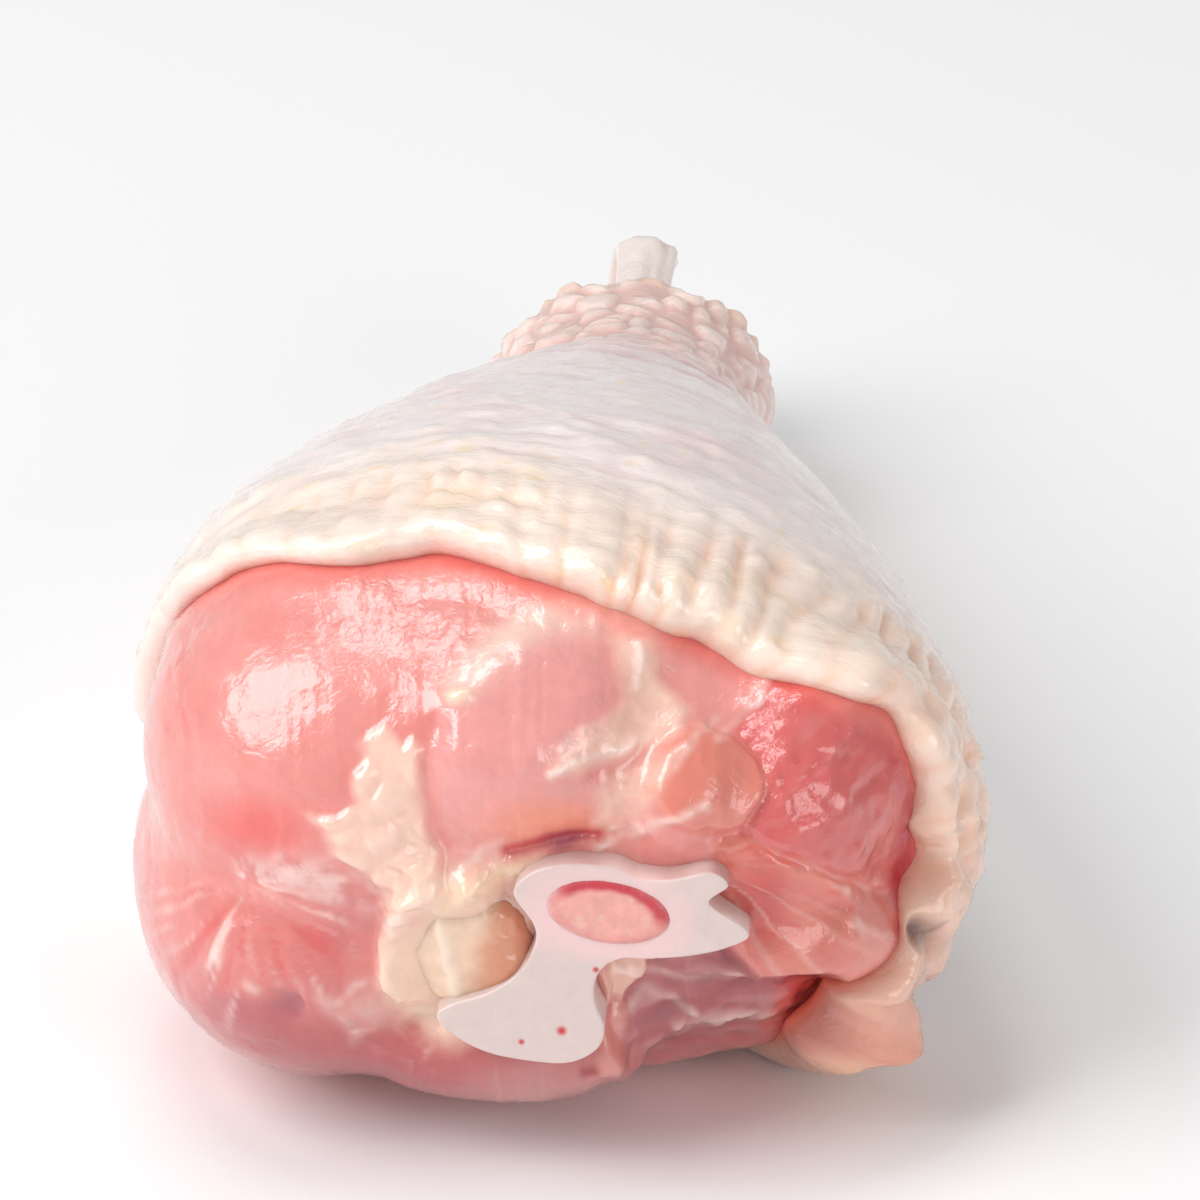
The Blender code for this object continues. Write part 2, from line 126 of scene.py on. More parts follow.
ACHILLES_MIDDLE_X = 0.5

# The skin's rolled edge: its width, the spacing of its pillows, and how far the inside of
# the skin sinks towards the meat at its front and rear edge
LIP_ROLL = 3.6
PILLOW = 2.8
LIP_SINK = 1.0
RIM_SINK = 1.5
# The edge is thinner on the left: turn, spread in degrees, by how much
LIP_THIN = (165, 42, 1.6)
# Ragged tongues on the edge: turn, spread in degrees, length
TAGS = [(341, 4.5, 2.6), (354, 4.5, 2.2), (6, 4, 1), (325, 5, 1)]
# Lumps of fat on the flap at the lower right: place, size, height
FAT_LUMPS = [
    ((27, -50.2, 9), 3.3, 2.6), ((23, -51.5, 9.4), 2.4, 0.8), ((30, -46, 19.5), 2.6, 0.9),
]
# Line of blood beside the skin's edge: turn, spread in degrees, distance from the edge, width
CRIMSON = (4, 15, 2.9, 0.9)
# Blood spots on the cut bone and the pink halo round its marrow: place, size, solid middle
BLOOD_DOTS = [
    ((1.9, -60, 14.4), 0.55, 0.2), ((-1.2, -59.9, 13.3), 0.35, 0.1),
    ((5.6, -59.3, 19.9), 0.5, 0.1), ((4.5, -59.3, 19.7), 0.35, 0.1),
    ((9.2, -59.2, 20.6), 0.4, 0.1),
]
HALO = [
    ((2.6, -58.9, 24.6), 4.6, 1.8), ((5.4, -58.9, 24.2), 4.6, 2.4), ((8.2, -58.9, 23.8), 4.6, 1.8),
]
# Sizes of the ankle's scales and of the materials' mottling
SCALE = (3.4, 3, 3.4)
MOTTLE_SIZE = 1.4
# Radii that turn angles round the leg into lengths
LEG_RADIUS, ANKLE_SEAM_RADIUS, ANKLE_RADIUS = 27, 12, 10
# How far apart fibres spread round a centre, in mm for each radian
FAN_SPREAD, SWIRL_SPREAD, WEDGE_SPREAD = 11, 5, 16
MEAT_OVER_FLOOR = 0.05
# How far surfaces are looked for from the leg's spine, and how many times that is halved
FAR, HALVINGS = 70, 17

# Lights: name, direction, distance and size in metres, power in watts
LIGHTS = [
    ("key", (-0.64, -0.32, 0.68), 0.8, (0.44, 0.6), 4.4),
    ("top", (-0.14, 0.13, 0.97), 0.8, (0.36, 0.2), 1.3),
    ("fill", (0.8, -0.85, 0.45), 1.1, (0.6, 0.5), 2.6),
]
LIT_PLACE = (0, -0.02, 0.02)
WORLD_GLOW = 0.39
# The scene's camera stands where the photograph's does, closer in
VIEW_ZOOM = 1.85
VIEW_AT = (1.5, 0, 17.5)
SENSOR_WIDTH = 36.0

# Mesh rows and columns
MEAT_COLUMNS, FACE_ROWS, COVERED_ROWS, ANKLE_ROWS = 500, 156, 10, 14
SKIN_COLUMNS, SKIN_ROWS, LIP_ROWS, INNER_ROWS, RIM_ROWS = 480, 172, 14, 10, 8

# The photograph's camera: where it looks from, and where the leg's middle falls in pixels
PHOTO_TURN = radians(4)
PHOTO_RISE = radians(29.5)
PHOTO_DISTANCE = 740.0
PHOTO_FOCAL = 4850.0
PHOTO_WIDTH = 1200.0
PIXELS_PER_MM = 7.2
PHOTO_AIM = (0, 0, 20)
PHOTO_AIM_PIXEL = (589, 634)
BACK = np.array([
    sin(PHOTO_TURN) * cos(PHOTO_RISE),
    -cos(PHOTO_TURN) * cos(PHOTO_RISE),
    sin(PHOTO_RISE),
])
RIGHT = np.array([cos(PHOTO_TURN), sin(PHOTO_TURN), 0])
UP = np.cross(BACK, RIGHT)
EYE = PHOTO_AIM + BACK * PHOTO_DISTANCE

# Marks on the cut face, as pixels of the photograph
FAT_LEFT = [
    (438, 758), (455, 760), (466, 752), (463, 736), (466, 722), (474, 708), (481, 716), (486, 724),
    (493, 719), (500, 727), (497, 745), (499, 764), (507, 782), (511, 800), (495, 807), (482, 803),
    (475, 791), (461, 784), (451, 775),
]
OVAL = [
    (508, 700), (530, 678), (556, 664), (590, 660), (602, 684), (595, 706), (576, 722),
    (560, 736), (598, 742), (602, 752), (588, 767), (560, 773), (530, 786), (514, 785),
    (503, 768), (503, 735),
]
FASCIA_ARC = [(521, 686), (537, 669), (560, 657), (583, 651), (605, 654), (618, 664)]
FAT_CENTRE = [
    (597, 649), (617, 655), (624, 686), (641, 703), (637, 714), (620, 722), (603, 727),
    (584, 735), (566, 735), (574, 723), (587, 713), (598, 706), (604, 692), (602, 672),
]
FAT_LOW = [(592, 746), (606, 730), (636, 724), (624, 744), (618, 762), (588, 768)]
LOBE = (650, 741, 31, 28)
INNER = [
    (624, 663), (650, 667), (683, 680), (676, 700), (662, 714), (642, 712), (640, 702),
    (626, 686),
]
RIGHT_MUSCLE = [
    (683, 680), (712, 699), (745, 719), (762, 740), (768, 762), (764, 786), (744, 801),
    (724, 793), (693, 780), (675, 766), (682, 745), (674, 724), (666, 714),
]
WEDGE = [
    (655, 770), (674, 771), (693, 781), (723, 794), (744, 802), (753, 816), (742, 831),
    (722, 845), (686, 849), (670, 830), (674, 821), (656, 803),
]
CAVITY = [
    (598, 837), (640, 838), (664, 831), (680, 850), (722, 848), (732, 860), (702, 881),
    (652, 893), (612, 899), (600, 884), (596, 860),
]
LUMP_CREAM = [(592, 840), (618, 837), (621, 850), (606, 863), (594, 861)]
LUMP_PINK = [(593, 866), (606, 863), (613, 880), (604, 899), (590, 897)]
YELLOW_ZONE = [(478, 832), (503, 812), (516, 806), (512, 835), (508, 862), (492, 866), (480, 856)]
CREASE_RED = [(543, 777), (556, 773), (570, 769), (592, 769)]
CREASE_VIOLET = (575, 771, 12, 5)
COLLAR = [(516, 803), (526, 793), (540, 787), (558, 784)]
CAVITY_RIM = [(612, 842), (636, 840), (664, 834)]
TORN_SPOT = (769, 824, 9, 8)
FLAP_NOTCH = (766, 853, 10, 5)
FLAP_CORNER = (766, 886, 10, 10)
FLAP_LOBE = (748, 874, 15, 13)
CRIMSON_SPOT = [(585, 896), (589, 894)]
LOBE_EDGE = [(655, 712), (668, 719), (679, 731), (682, 746), (674, 765), (661, 770), (648, 766)]
RIGHT_UNDER = [(675, 767), (693, 781), (723, 794), (744, 802)]
# A pale fascia line on the wedge, partly a painted highlight
WEDGE_FASCIA_GLINT = [(711, 790), (723, 799), (730, 811), (733, 824)]
# Pale membranes, drawn white partly as painted glints on their wet edges: lines of marks
MEMBRANES_AND_GLINTS = [
    [(568, 736), (578, 731), (590, 727), (603, 724), (617, 717)],
    [(657, 709), (646, 716), (638, 725), (632, 732)],
    [(612, 667), (614, 678), (611, 690)],
    [(599, 765), (610, 770), (627, 763), (646, 754)],
    [(572, 722), (582, 713), (594, 707)],
    [(513, 806), (519, 787), (529, 777), (541, 772)],
    [(592, 777), (606, 768), (622, 766), (634, 760)],
    [(681, 684), (677, 700), (666, 712), (656, 719)],
    [(484, 811), (498, 805), (513, 804)],
    [(602, 846), (625, 853), (650, 857), (676, 850)],
    [(640, 884), (668, 877), (700, 868), (722, 856)],
    [(612, 872), (622, 862), (640, 868), (652, 878)],
]
FASCIA_LOW = [(404, 793), (428, 791), (450, 795), (474, 800)]
WHITE_STREAK = [(372, 768), (388, 779), (402, 790)]
LOW_SWIRLS = [
    [(388, 833), (395, 844), (408, 852)], [(345, 825), (352, 842), (362, 852)],
    [(452, 858), (462, 849), (476, 849), (486, 858), (480, 871), (462, 874)],
    [(500, 866), (503, 880), (500, 890)],
]
FAN_CENTRE = (404, 794)
FIBULA_CENTRE = (527, 830)
KNOB = (520, 833, 35, 39)
WEDGE_TIP = (650, 782)
NODULE = (519, 695, 8, 4)
DEEP_RED = (408, 766, 32, 19)
WEDGE_GLOW = (682, 806, 18, 26)
WEDGE_PALE = (742, 812, 14, 16)
DIMPLE = (424, 862, 9, 10)
PALE_BUMP = (468, 862, 16, 10)
LOW_DARK = (452, 912, 75, 20)
LOW_GREY = (568, 906, 46, 14)
OVAL_ORANGE = (566, 762, 36, 13)
LEFT_CREASE = [(507, 712), (501, 735), (500, 762), (514, 790)]
LEFT_LOW = (392, 850, 105, 58)


def tone(red, green, blue):
    """Linear colour from 0 to 255 screen values."""
    values = np.array([red, green, blue]) / 255.0
    return np.where(values <= 0.04045, values / 12.92, ((values + 0.055) / 1.055) ** 2.4)


def station(y, column):
    """Value of one column of STATIONS at y, on a smooth curve through the stations."""
    ys = STATIONS[:, 0]
    values = STATIONS[:, column]
    slopes = np.gradient(values, ys)
    slopes[0] = 0.0
    y = np.clip(y, ys[0], ys[-1])
    i = np.clip(np.searchsorted(ys, y) - 1, 0, len(ys) - 2)
    span = ys[i + 1] - ys[i]
    t = (y - ys[i]) / span
    start = (2*t**3 - 3*t**2 + 1) * values[i] + (t**3 - 2*t**2 + t) * span * slopes[i]
    end = (3*t**2 - 2*t**3) * values[i + 1] + (t**3 - t**2) * span * slopes[i + 1]
    return start + end


def stacked(x, y, z):
    """Points as rows of three numbers, from arrays or single numbers."""
    return np.stack(np.broadcast_arrays(x, y, z), -1)


def ramp(low, high, value):
    """0 on low's side, 1 on high's side and a smooth change between."""
    t = np.clip((value - low) / (high - low), 0, 1)
    return t * t * (3 - 2 * t)


def joined(a, b, blend):
    """Distance to two forms melted together over the blend width."""
    h = np.clip(0.5 + 0.5 * (b - a) / blend, 0, 1)
    return b + (a - b) * h - blend * h * (1 - h)


def leg_form(point):
    """Distance outside the leg's smooth form, negative inside it."""
    y = point[..., 1]
    width, height, centre_x, centre_z, roll = (station(y, c) for c in range(1, 6))
    c, s = np.cos(np.radians(roll)), np.sin(np.radians(roll))
    x = point[..., 0] - centre_x
    z = point[..., 2] - centre_z
    across = (((x*c + z*s) / width)**2 + ((z*c - x*s) / height)**2) ** (SQUARENESS / 2)
    front = np.clip((KNEE_Y - y) / KNEE_REACH, 0, None) ** SQUARENESS
    rear = np.clip((y - ANKLE_Y) / ANKLE_REACH, 0, None) ** SQUARENESS
    return ((across + front + rear) ** (1 / SQUARENESS) - 1) * np.minimum(width, height)


def ball_form(point, centre, half, turn=0.0):
    """Distance outside a stretched ball that is turned about Y."""
    c, s = cos(radians(turn)), sin(radians(turn))
    q = point - centre
    local = stacked(q[..., 0]*c - q[..., 2]*s, q[..., 1], q[..., 0]*s + q[..., 2]*c)
    half = np.array(half)
    k = np.linalg.norm(local / half, axis=-1)
    return k * (k - 1) / (np.linalg.norm(local / half**2, axis=-1) + 1e-9)


def meat_form(point):
    """Distance outside the bare meat: the inset leg and its bulging muscles."""
    distance = leg_form(point) + FACE_INSET
    for centre, half, turn in MUSCLES.values():
        distance = joined(distance, ball_form(point, centre, half, turn), MUSCLE_BLEND)
    return distance


def skin_form(point):
    """Distance outside the leg with its skin on."""
    return leg_form(point) - SKIN_OVER_FORM


def ray(along, turn):
    """Start and direction of the line out from the spine at a place on the surface."""
    lean = pi / 2 * np.clip(along / DOME_ARC, 0, 1)
    back = pi / 2 * np.clip((along - DOME_ARC - TUBE) / ANKLE_ARC, 0, 1)
    y = KNEE_Y + np.clip(along - DOME_ARC, 0, TUBE)
    start = stacked(station(y, 3), y, station(y, 4))
    side = np.sin(lean) * np.cos(back)
    way = stacked(np.cos(turn) * side, np.sin(back) - np.cos(lean), np.sin(turn) * side)
    return start, way


def reach(form, start, way):
    """Distance along each ray to the surface of a form, by halving."""
    near = np.zeros(way.shape[:-1])
    far = near + FAR
    for _ in range(HALVINGS):
        middle = (near + far) / 2
        inside = form(start + way * middle[..., None]) < 0
        near = np.where(inside, middle, near)
        far = np.where(inside, far, middle)
    return near


def bump(turn, at, spread):
    """1 at one turn round the leg, falling to 0 over the spread in degrees."""
    off = (np.degrees(turn) - at + 180) % 360 - 180
    return np.exp(-(off / spread) ** 2)


def front_edge(turn):
    """Where the skin's front edge lies, with its waves and lobes."""
    turns = [t for t, _ in FRONT_EDGE] + [360]
    places = [a for _, a in FRONT_EDGE] + [FRONT_EDGE[0][1]]
    edge = np.interp(np.degrees(turn) % 360, turns, places)
    edge += 0.35 * np.sin(7 * turn + 0.8) + 0.25 * np.sin(13 * turn + 2.1)
    for at, spread, _, longer in LOBES:
        edge -= longer * bump(turn, at, spread)
    return edge


def rear_edge(turn):
    """Where the skin's edge at the ankle lies: a slanted, slightly wavy ring."""
    slant = REAR_SLANT * np.cos(turn - radians(REAR_SLANT_AT))
    return REAR_EDGE + slant + 0.3 * np.sin(5 * turn)


def lip_thickness(turn):
    """Thickness of the rolled fatty edge round the leg."""
    thick = LIP_THICK + 0.35 * np.sin(3 * turn + 0.4) + 0.25 * np.sin(8 * turn)
    for at, spread, extra, _ in LOBES:
        thick += extra * bump(turn, at, spread)
    return thick


def floor_reach(start, way, level):
    """Distance along each ray down to a level plane, or a long way if it points up."""
    down = np.clip(-way[..., 2], 1e-6, None)
    return np.where(way[..., 2] < -1e-6, (start[..., 2] - level) / down, 1e6)


def layers(along, turn):
    """Start and way of each ray, and its reach to the meat, skin inside and skin outside."""
    start, way = ray(along, turn)
    bare = reach(meat_form, start, way)
    edge = front_edge(turn)
    covered = ramp(edge, edge + LIP_TAPER, along)
    thick = lip_thickness(turn) * (1 - covered) + SKIN_THICK * covered
    outside = np.maximum(reach(skin_form, start, way), bare + GAP + thick)
    meat = np.maximum(bare, (outside - thick - GAP) * covered + bare * (1 - covered))
    rear = rear_edge(turn)
    meat = meat - ANKLE_INSET * ramp(rear + 0.8, rear + 5.5, along)
    raised = ramp(edge - 7, edge - 3, along)
    meat = np.minimum(meat, floor_reach(start, way, (FLOOR_SKIN + GAP) * raised))
    inside = np.minimum(meat + GAP, floor_reach(start, way, FLOOR_SKIN))
    outside = np.minimum(outside, floor_reach(start, way, 0))
    return start, way, meat, inside, outside


def noise(point, size, seed):
    """Smooth random field from -1 to 1 with features of about the given size."""
    count = 32
    table = np.random.default_rng(seed).random((count, count, count)) * 2 - 1
    place = point / np.array(size, float)
    cell = np.floor(place).astype(int)
    share = place - cell
    share = share * share * (3 - 2 * share)
    ends = ((cell % count, 1 - share), ((cell + 1) % count, share))
    total = np.zeros(point.shape[:-1])
    for (a, wa), (b, wb), (c, wc) in itertools.product(ends, repeat=3):
        weight = wa[..., 0] * wb[..., 1] * wc[..., 2]
        total += weight * table[a[..., 0], b[..., 1], c[..., 2]]
    return total


def clouds(point, size, seed, octaves=3):
    """Several sizes of noise added together."""
    total = np.zeros(point.shape[:-1])
    for i in range(octaves):
        total += noise(point, np.array(size, float) / 2**i, seed + i) / 2**i
    return total / 1.5


def grains(point, size, seed, stray=1.0):
    """Distance to the nearest and second nearest of scattered seeds, as shares of the size."""
    count = 24
    table = np.random.default_rng(seed).random((count, count, count, 3)) * stray
    q = point / np.array(size, float)
    cell = np.floor(q).astype(int)
    first = np.full(point.shape[:-1], 9.0)
    second = first.copy()
    for step in np.ndindex(3, 3, 3):
        at = cell + np.array(step) - 1
        wrapped = at % count
        spot = at + table[wrapped[..., 0], wrapped[..., 1], wrapped[..., 2]]
        away = np.linalg.norm(q - spot, axis=-1)
        second = np.minimum(second, np.maximum(first, away))
        first = np.minimum(first, away)
    return first, second


def photo_pixel(point):
    """Where a point of the leg falls in the photograph, in pixels."""
    q = point - EYE
    depth = -(q @ BACK)
    across = PHOTO_AIM_PIXEL[0] + PHOTO_FOCAL * (q @ RIGHT) / depth
    down = PHOTO_AIM_PIXEL[1] - PHOTO_FOCAL * (q @ UP) / depth
    return across, down


class Face:
    """The photograph's pixel that each vertex falls on, and how well it is seen, 0 to 1.

    spot, stroke and area give masks from 0 to 1, as far as it is seen.
    """

    def __init__(self, x, y, seen):
        self.x, self.y, self.seen = x, y, seen

    def away(self, a, b):
        """Distance in pixels to the straight line between two marks."""
        x, y = self.x - a[0], self.y - a[1]
        dx, dy = b[0] - a[0], b[1] - a[1]
        t = np.clip((x * dx + y * dy) / (dx**2 + dy**2), 0, 1)
        return np.hypot(x - t * dx, y - t * dy)

    def polar(self, mark):
        """Turn and distance in pixels about one mark."""
        x, y = self.x - mark[0], self.y - mark[1]
        return np.arctan2(y, x), np.hypot(y, x)

    def oval(self, marks):
        """Distance from an oval's middle, as a share of its half sizes."""
        return np.hypot((self.x - marks[0]) / marks[2], (self.y - marks[1]) / marks[3])

    def spot(self, marks):
        """An oval spot that falls off smoothly past its half sizes."""
        return np.exp(-self.oval(marks) ** 2.6) * self.seen

    def stroke(self, marks, width):
        """A line through the marks that falls off over its width in pixels."""
        near = np.minimum.reduce([self.away(a, b) for a, b in zip(marks, marks[1:])])
        return np.exp(-(near / width) ** 2) * self.seen

    def area(self, marks, soft):
        """The inside of an outline of marks, with a soft border in pixels."""
        sides = list(zip(marks, marks[1:] + marks[:1]))
        near = np.minimum.reduce([self.away(a, b) for a, b in sides])
        inside = np.zeros(self.x.shape, bool)
        for (ax, ay), (bx, by) in sides:
            if ay != by:
                left = self.x < (bx - ax) * (self.y - ay) / (by - ay) + ax
                inside ^= ((ay > self.y) != (by > self.y)) & left
        return ramp(-soft, soft, np.where(inside, near, -near)) * self.seen

    def warped(self, point, coarse, fine, seed):
        """The same with its pixels strayed by two noises: how many pixels, and size in mm."""
        stray = [coarse[0] * noise(point, coarse[1], seed + k)
                 + fine[0] * noise(point, fine[1], seed + k + 1) for k in (0, 2)]
        return Face(self.x + stray[0], self.y + stray[1], self.seen)


class Paint:
    """A colour at each vertex, with others laid over it. Colours are 0 to 255 screen values."""

    def __init__(self, places, *screen):
        self.colour = np.zeros(places.shape) + tone(*screen)

    def lay(self, mask, *screen):
        """Lay a colour over what is there, as far as the mask says."""
        mask = mask[..., None]
        self.colour = self.colour * (1 - mask) + tone(*screen) * mask


def strands(across, along, coarse, fine, seed):
    """Fibres at places in mm: coarse strands with finer ones between, by width and length."""
    place = stacked(across, along, 0)
    return noise(place, (*coarse, 1), seed) + 0.6 * noise(place, (*fine, 1), seed + 1)


def meat_fibres(face, m):
    """Fibres of the muscles, about -1 to 1, in each muscle's own direction."""
    fan, fan_far = face.polar(FAN_CENTRE)
    wedge, _ = face.polar(WEDGE_TIP)
    swirl = np.hypot((face.x - FIBULA_CENTRE[0]) * 0.8, face.y - FIBULA_CENTRE[1])
    x, y = face.x / PIXELS_PER_MM, face.y / PIXELS_PER_MM
    upright = strands(x, -y, (0.55, 9), (0.28, 6), 21)
    m.fanned = strands(fan * FAN_SPREAD, fan_far / PIXELS_PER_MM, (0.9, 6), (0.45, 4), 23)
    swirled = strands(swirl / PIXELS_PER_MM, fan * SWIRL_SPREAD, (0.5, 4), (0.26, 3), 25)
    wedged = noise(stacked(wedge * WEDGE_SPREAD, 0, 0), (0.7, 1, 1), 27)
    slanted = noise(stacked(x + 0.7*y, y - 0.7*x, 0), (0.6, 5, 1), 28)
    m.fan = m.low * ramp(95, 45, fan_far)
    m.swirl = m.low * ramp(50, 95, fan_far) * ramp(95, 55, swirl)
    plain = np.clip(1 - m.fan - m.swirl - m.right - m.wedge, 0, 1)
    m.fibres = (upright * plain * 0.45 + m.fanned * m.fan * 1.3 + swirled * m.swirl * 1.3
                + slanted * m.right * 0.6 + wedged * m.wedge * 1.4)


def meat_masks(point, face, along, turn):
    """What the meat's colour and relief share, by name."""
    m = SimpleNamespace()
    m.wander = clouds(point, 5, 11)
    m.fine = clouds(point, 1.6, 17)
    m.broken = ramp(-0.35, 0.55, m.fine + 0.6 * m.wander)
    m.veils = noise(point, (4, 3, 1.6), 36) + 0.5 * noise(point, 1.3, 37)
    m.patches = clouds(point, 3, 45)
    first, second = grains(point, 2.5, 31)
    m.lobules = ramp(-0.1, 0.5, second - first) * (1.15 - 0.6 * first**2)

    m.low = face.spot(LEFT_LOW)
    m.right = face.area(RIGHT_MUSCLE, 5)
    m.wedge = face.area(WEDGE, 3)
    m.lobe = ramp(1.14, 0.84, face.oval(LOBE)) * face.seen
    m.cavity = face.area(CAVITY, 4)
    m.arc = face.stroke(FASCIA_ARC, 11)
    m.fat_left = face.warped(point, (5, 2.6), (2.5, 1.1), 7).area(FAT_LEFT, 5)
    m.fat_centre = face.area(FAT_CENTRE, 6) * (0.8 + 0.2 * m.broken)
    m.fat_low = face.area(FAT_LOW, 6) * (0.7 + 0.3 * m.broken)
    m.collar = face.stroke(COLLAR, 8)
    m.crease = face.stroke(CREASE_RED, 3.2)
    m.lump = face.area(LUMP_CREAM, 5)
    m.lump_pink = face.area(LUMP_PINK, 6)
    m.knob = face.oval(KNOB)
    m.knob_rim = np.exp(-((m.knob - 1) / 0.15) ** 2) * face.seen * (0.6 + 0.4 * m.broken)
    m.membrane = np.maximum.reduce([face.stroke(marks, 2.6) for marks in MEMBRANES_AND_GLINTS])

    m.bare = front_edge(turn) - along
    m.not_rear = ramp(END, 60, along)
    m.ankle = ramp(-4, 2, along - rear_edge(turn))
    return m


def muscle_colour(lay, point, face, m):
    """The muscles in their pinks and reds, the hollow under the bone, and painted shade towards
    the floor.
    """
    lay(0.55 * ramp(-0.5, 0.8, m.wander), 240, 166, 158)
    lay(m.low * 0.85, 224, 126, 120)
    lay(face.spot(DEEP_RED) * 0.85, 236, 92, 86)
    lay(face.area(OVAL, 4) * 0.8, 238, 160, 156)
    lay(face.spot(OVAL_ORANGE) * 0.9, 248, 140, 108)
    lay(face.area(INNER, 7) * 0.7, 234, 154, 146)
    lay(m.right * 0.9, 214, 90, 88)
    lay(m.wedge * 0.9, 228, 126, 108)
    lay(face.spot(WEDGE_GLOW) * 0.9, 198, 56, 52)
    lay(face.spot(WEDGE_PALE) * 0.6 * ramp(-0.4, 0.5, m.fine), 240, 184, 172)
    lay(m.lobe * 0.8, 226, 126, 106)
    lay(m.cavity * 0.9, 166, 70, 78)
    # pale sheets on the hollow: partly real membranes, partly painted glints
    lay(m.cavity * ramp(0.05, 0.6, m.veils) * 0.35, 214, 160, 160)
    lay(m.cavity * ramp(0.1, 0.7, -m.veils) * 0.6, 140, 58, 76)
    lay(m.low * ramp(0, 0.7, noise(point, 4.5, 35)) * 0.6, 190, 98, 110)
    # painted shade: the cut face turns darker and redder towards its bottom by the floor
    lay(ramp(830, 890, face.y) * face.seen * 0.85 * (1 - m.cavity), 178, 60, 64)
    lay(face.spot(LOW_DARK) * 0.75, 158, 56, 68)
    lay(face.spot(LOW_GREY) * 0.8, 196, 132, 128)
    lay(face.spot(DIMPLE) * 0.75, 168, 84, 98)
    lay(face.area(YELLOW_ZONE, 5) * 0.75, 244, 204, 168)
    lay(face.spot(PALE_BUMP) * 0.6, 240, 198, 186)


def fibre_colour(lay, face, m):
    """Pale fibres and fascia, with a painted highlight on the wedge's fascia, and the red between
    fibres.
    """
    pale = (0.24 + 0.65 * m.fan + 0.3 * m.swirl) * ramp(0.15, 1.1, m.fibres)
    pale += 0.8 * face.stroke(FASCIA_LOW, 9) * ramp(-0.5, 0.4, m.fine + m.fanned * 0.4)
    pale += 0.5 * face.stroke(WHITE_STREAK, 2.2) * m.broken
    for marks in LOW_SWIRLS:
        pale += 0.5 * face.stroke(marks, 2.8) * m.broken
    # the pale fascia line on the wedge, partly a painted highlight
    pale += 0.6 * face.stroke(WEDGE_FASCIA_GLINT, 2) * m.broken
    lay(np.clip(pale, 0, 0.95), 250, 214, 206)
    lay((0.35 + 0.3 * m.fan) * ramp(0.2, 1.2, -m.fibres), 222, 84, 82)


def fat_colour(lay, face, m):
    """Fat, gristle, membranes with painted glints along them, and the creases between them."""
    lay(m.arc * 0.9, 248, 210, 196)
    lay(m.fat_centre * 0.9, 248, 208, 188)
    lay(m.fat_low * 0.8, 248, 204, 184)
    lay(m.fat_left * 0.9, 255, 217, 198)
    lay(m.fat_left * np.clip(1 - m.lobules, 0, 1) * 0.35, 246, 192, 168)
    lay(face.spot(NODULE) * 0.9, 252, 226, 200)
    lay(ramp(1.5, 1, m.knob + 0.15 * m.fine) * face.seen * 0.7, 250, 210, 186)
    lay(m.knob_rim * 0.7, 252, 228, 208)
    lay(m.lump * 0.9, 240, 192, 172)
    lay(m.lump_pink * 0.8, 226, 150, 140)
    # pale membranes, partly painted glints
    lay(m.membrane * 0.7 * (0.35 + 0.65 * m.broken), 254, 232, 222)
    lay(m.collar * 0.85, 250, 214, 182)
    lay(m.crease * 0.85, 206, 50, 60)
    lay(face.spot(CREASE_VIOLET) * 0.8, 160, 52, 84)
    lay(face.stroke(CAVITY_RIM, 3) * 0.6 * m.broken, 236, 192, 186)


def border_colour(lay, face, m, turn):
    """Painted red shade beside the skin's edge, the blood there, and the bare ankle."""
    # painted shade: the meat turns a deeper, saturated red just beside the skin's edge, where the
    # lip shades it
    shade = ramp(4, 1.8, m.bare + 0.5 * m.fine) * m.not_rear
    lay(shade * 0.55, 242, 92, 82)
    at, spread, from_edge, width = CRIMSON
    blood = bump(turn, at, spread) * np.exp(-((m.bare - from_edge) / width) ** 2)
    lay(np.clip(blood * (1.3 + 0.5 * m.fine), 0, 1), 188, 0, 42)
    lay(face.stroke(CRIMSON_SPOT, 2.6) * 0.9, 160, 8, 36)
    lay(m.ankle * 0.95, 248, 218, 200)
    lay(m.ankle * ramp(0.1, 0.5, m.patches) * 0.7, 250, 218, 160)
    lay(m.ankle * ramp(0.1, 0.6, -m.patches) * 0.7, 232, 160, 150)


def meat_relief(point, face, m, turn):
    """Relief of the meat in mm."""
    relief = 0.28 * m.wander + 0.06 * m.fine
    relief += 0.09 * m.fibres * (1 - m.fat_left) * (1 - m.fat_centre)
    relief += m.fat_left * (0.25 + 0.45 * m.lobules) + m.fat_centre * 0.3 + m.arc * 0.15
    relief += m.fat_low * 0.3 + m.lump * 1.2 + m.lump_pink * 0.8 + m.lobe
    relief += m.knob_rim * (0.4 + 0.6 * m.fine) + m.collar * 0.6 - m.crease * 0.6
    relief += (0.7 + 0.5 * bump(turn, 15, 35)) * ramp(6, 1.8, m.bare) * m.not_rear
    mound = ramp(1.5, 1.04, m.knob + 0.12 * m.fine) * ramp(546, 528, face.x)
    relief += mound * ramp(866, 846, face.y) * face.seen * 1.6 + face.spot(NODULE) * 0.6
    relief += m.membrane * 0.3 * m.broken + face.spot(PALE_BUMP) * 0.5
    relief -= face.spot(DIMPLE) * 0.9 + m.cavity * (1.9 + 0.5 * m.wander - 0.35 * m.veils)
    relief -= face.stroke(LOBE_EDGE, 3.5) * 0.45 + face.stroke(RIGHT_UNDER, 3) * 0.7
    relief += face.stroke(WEDGE_FASCIA_GLINT, 3) * 0.3 + face.area(OVAL, 14) * 0.45
    relief -= face.stroke(LEFT_CREASE, 8) * 0.6 * (1 - m.fat_left)
    relief += m.right * 0.26 * noise(point, 1.1, 41)
    return relief + m.ankle * (0.8 * m.patches + 0.4 * noise(point, 1.6, 43))


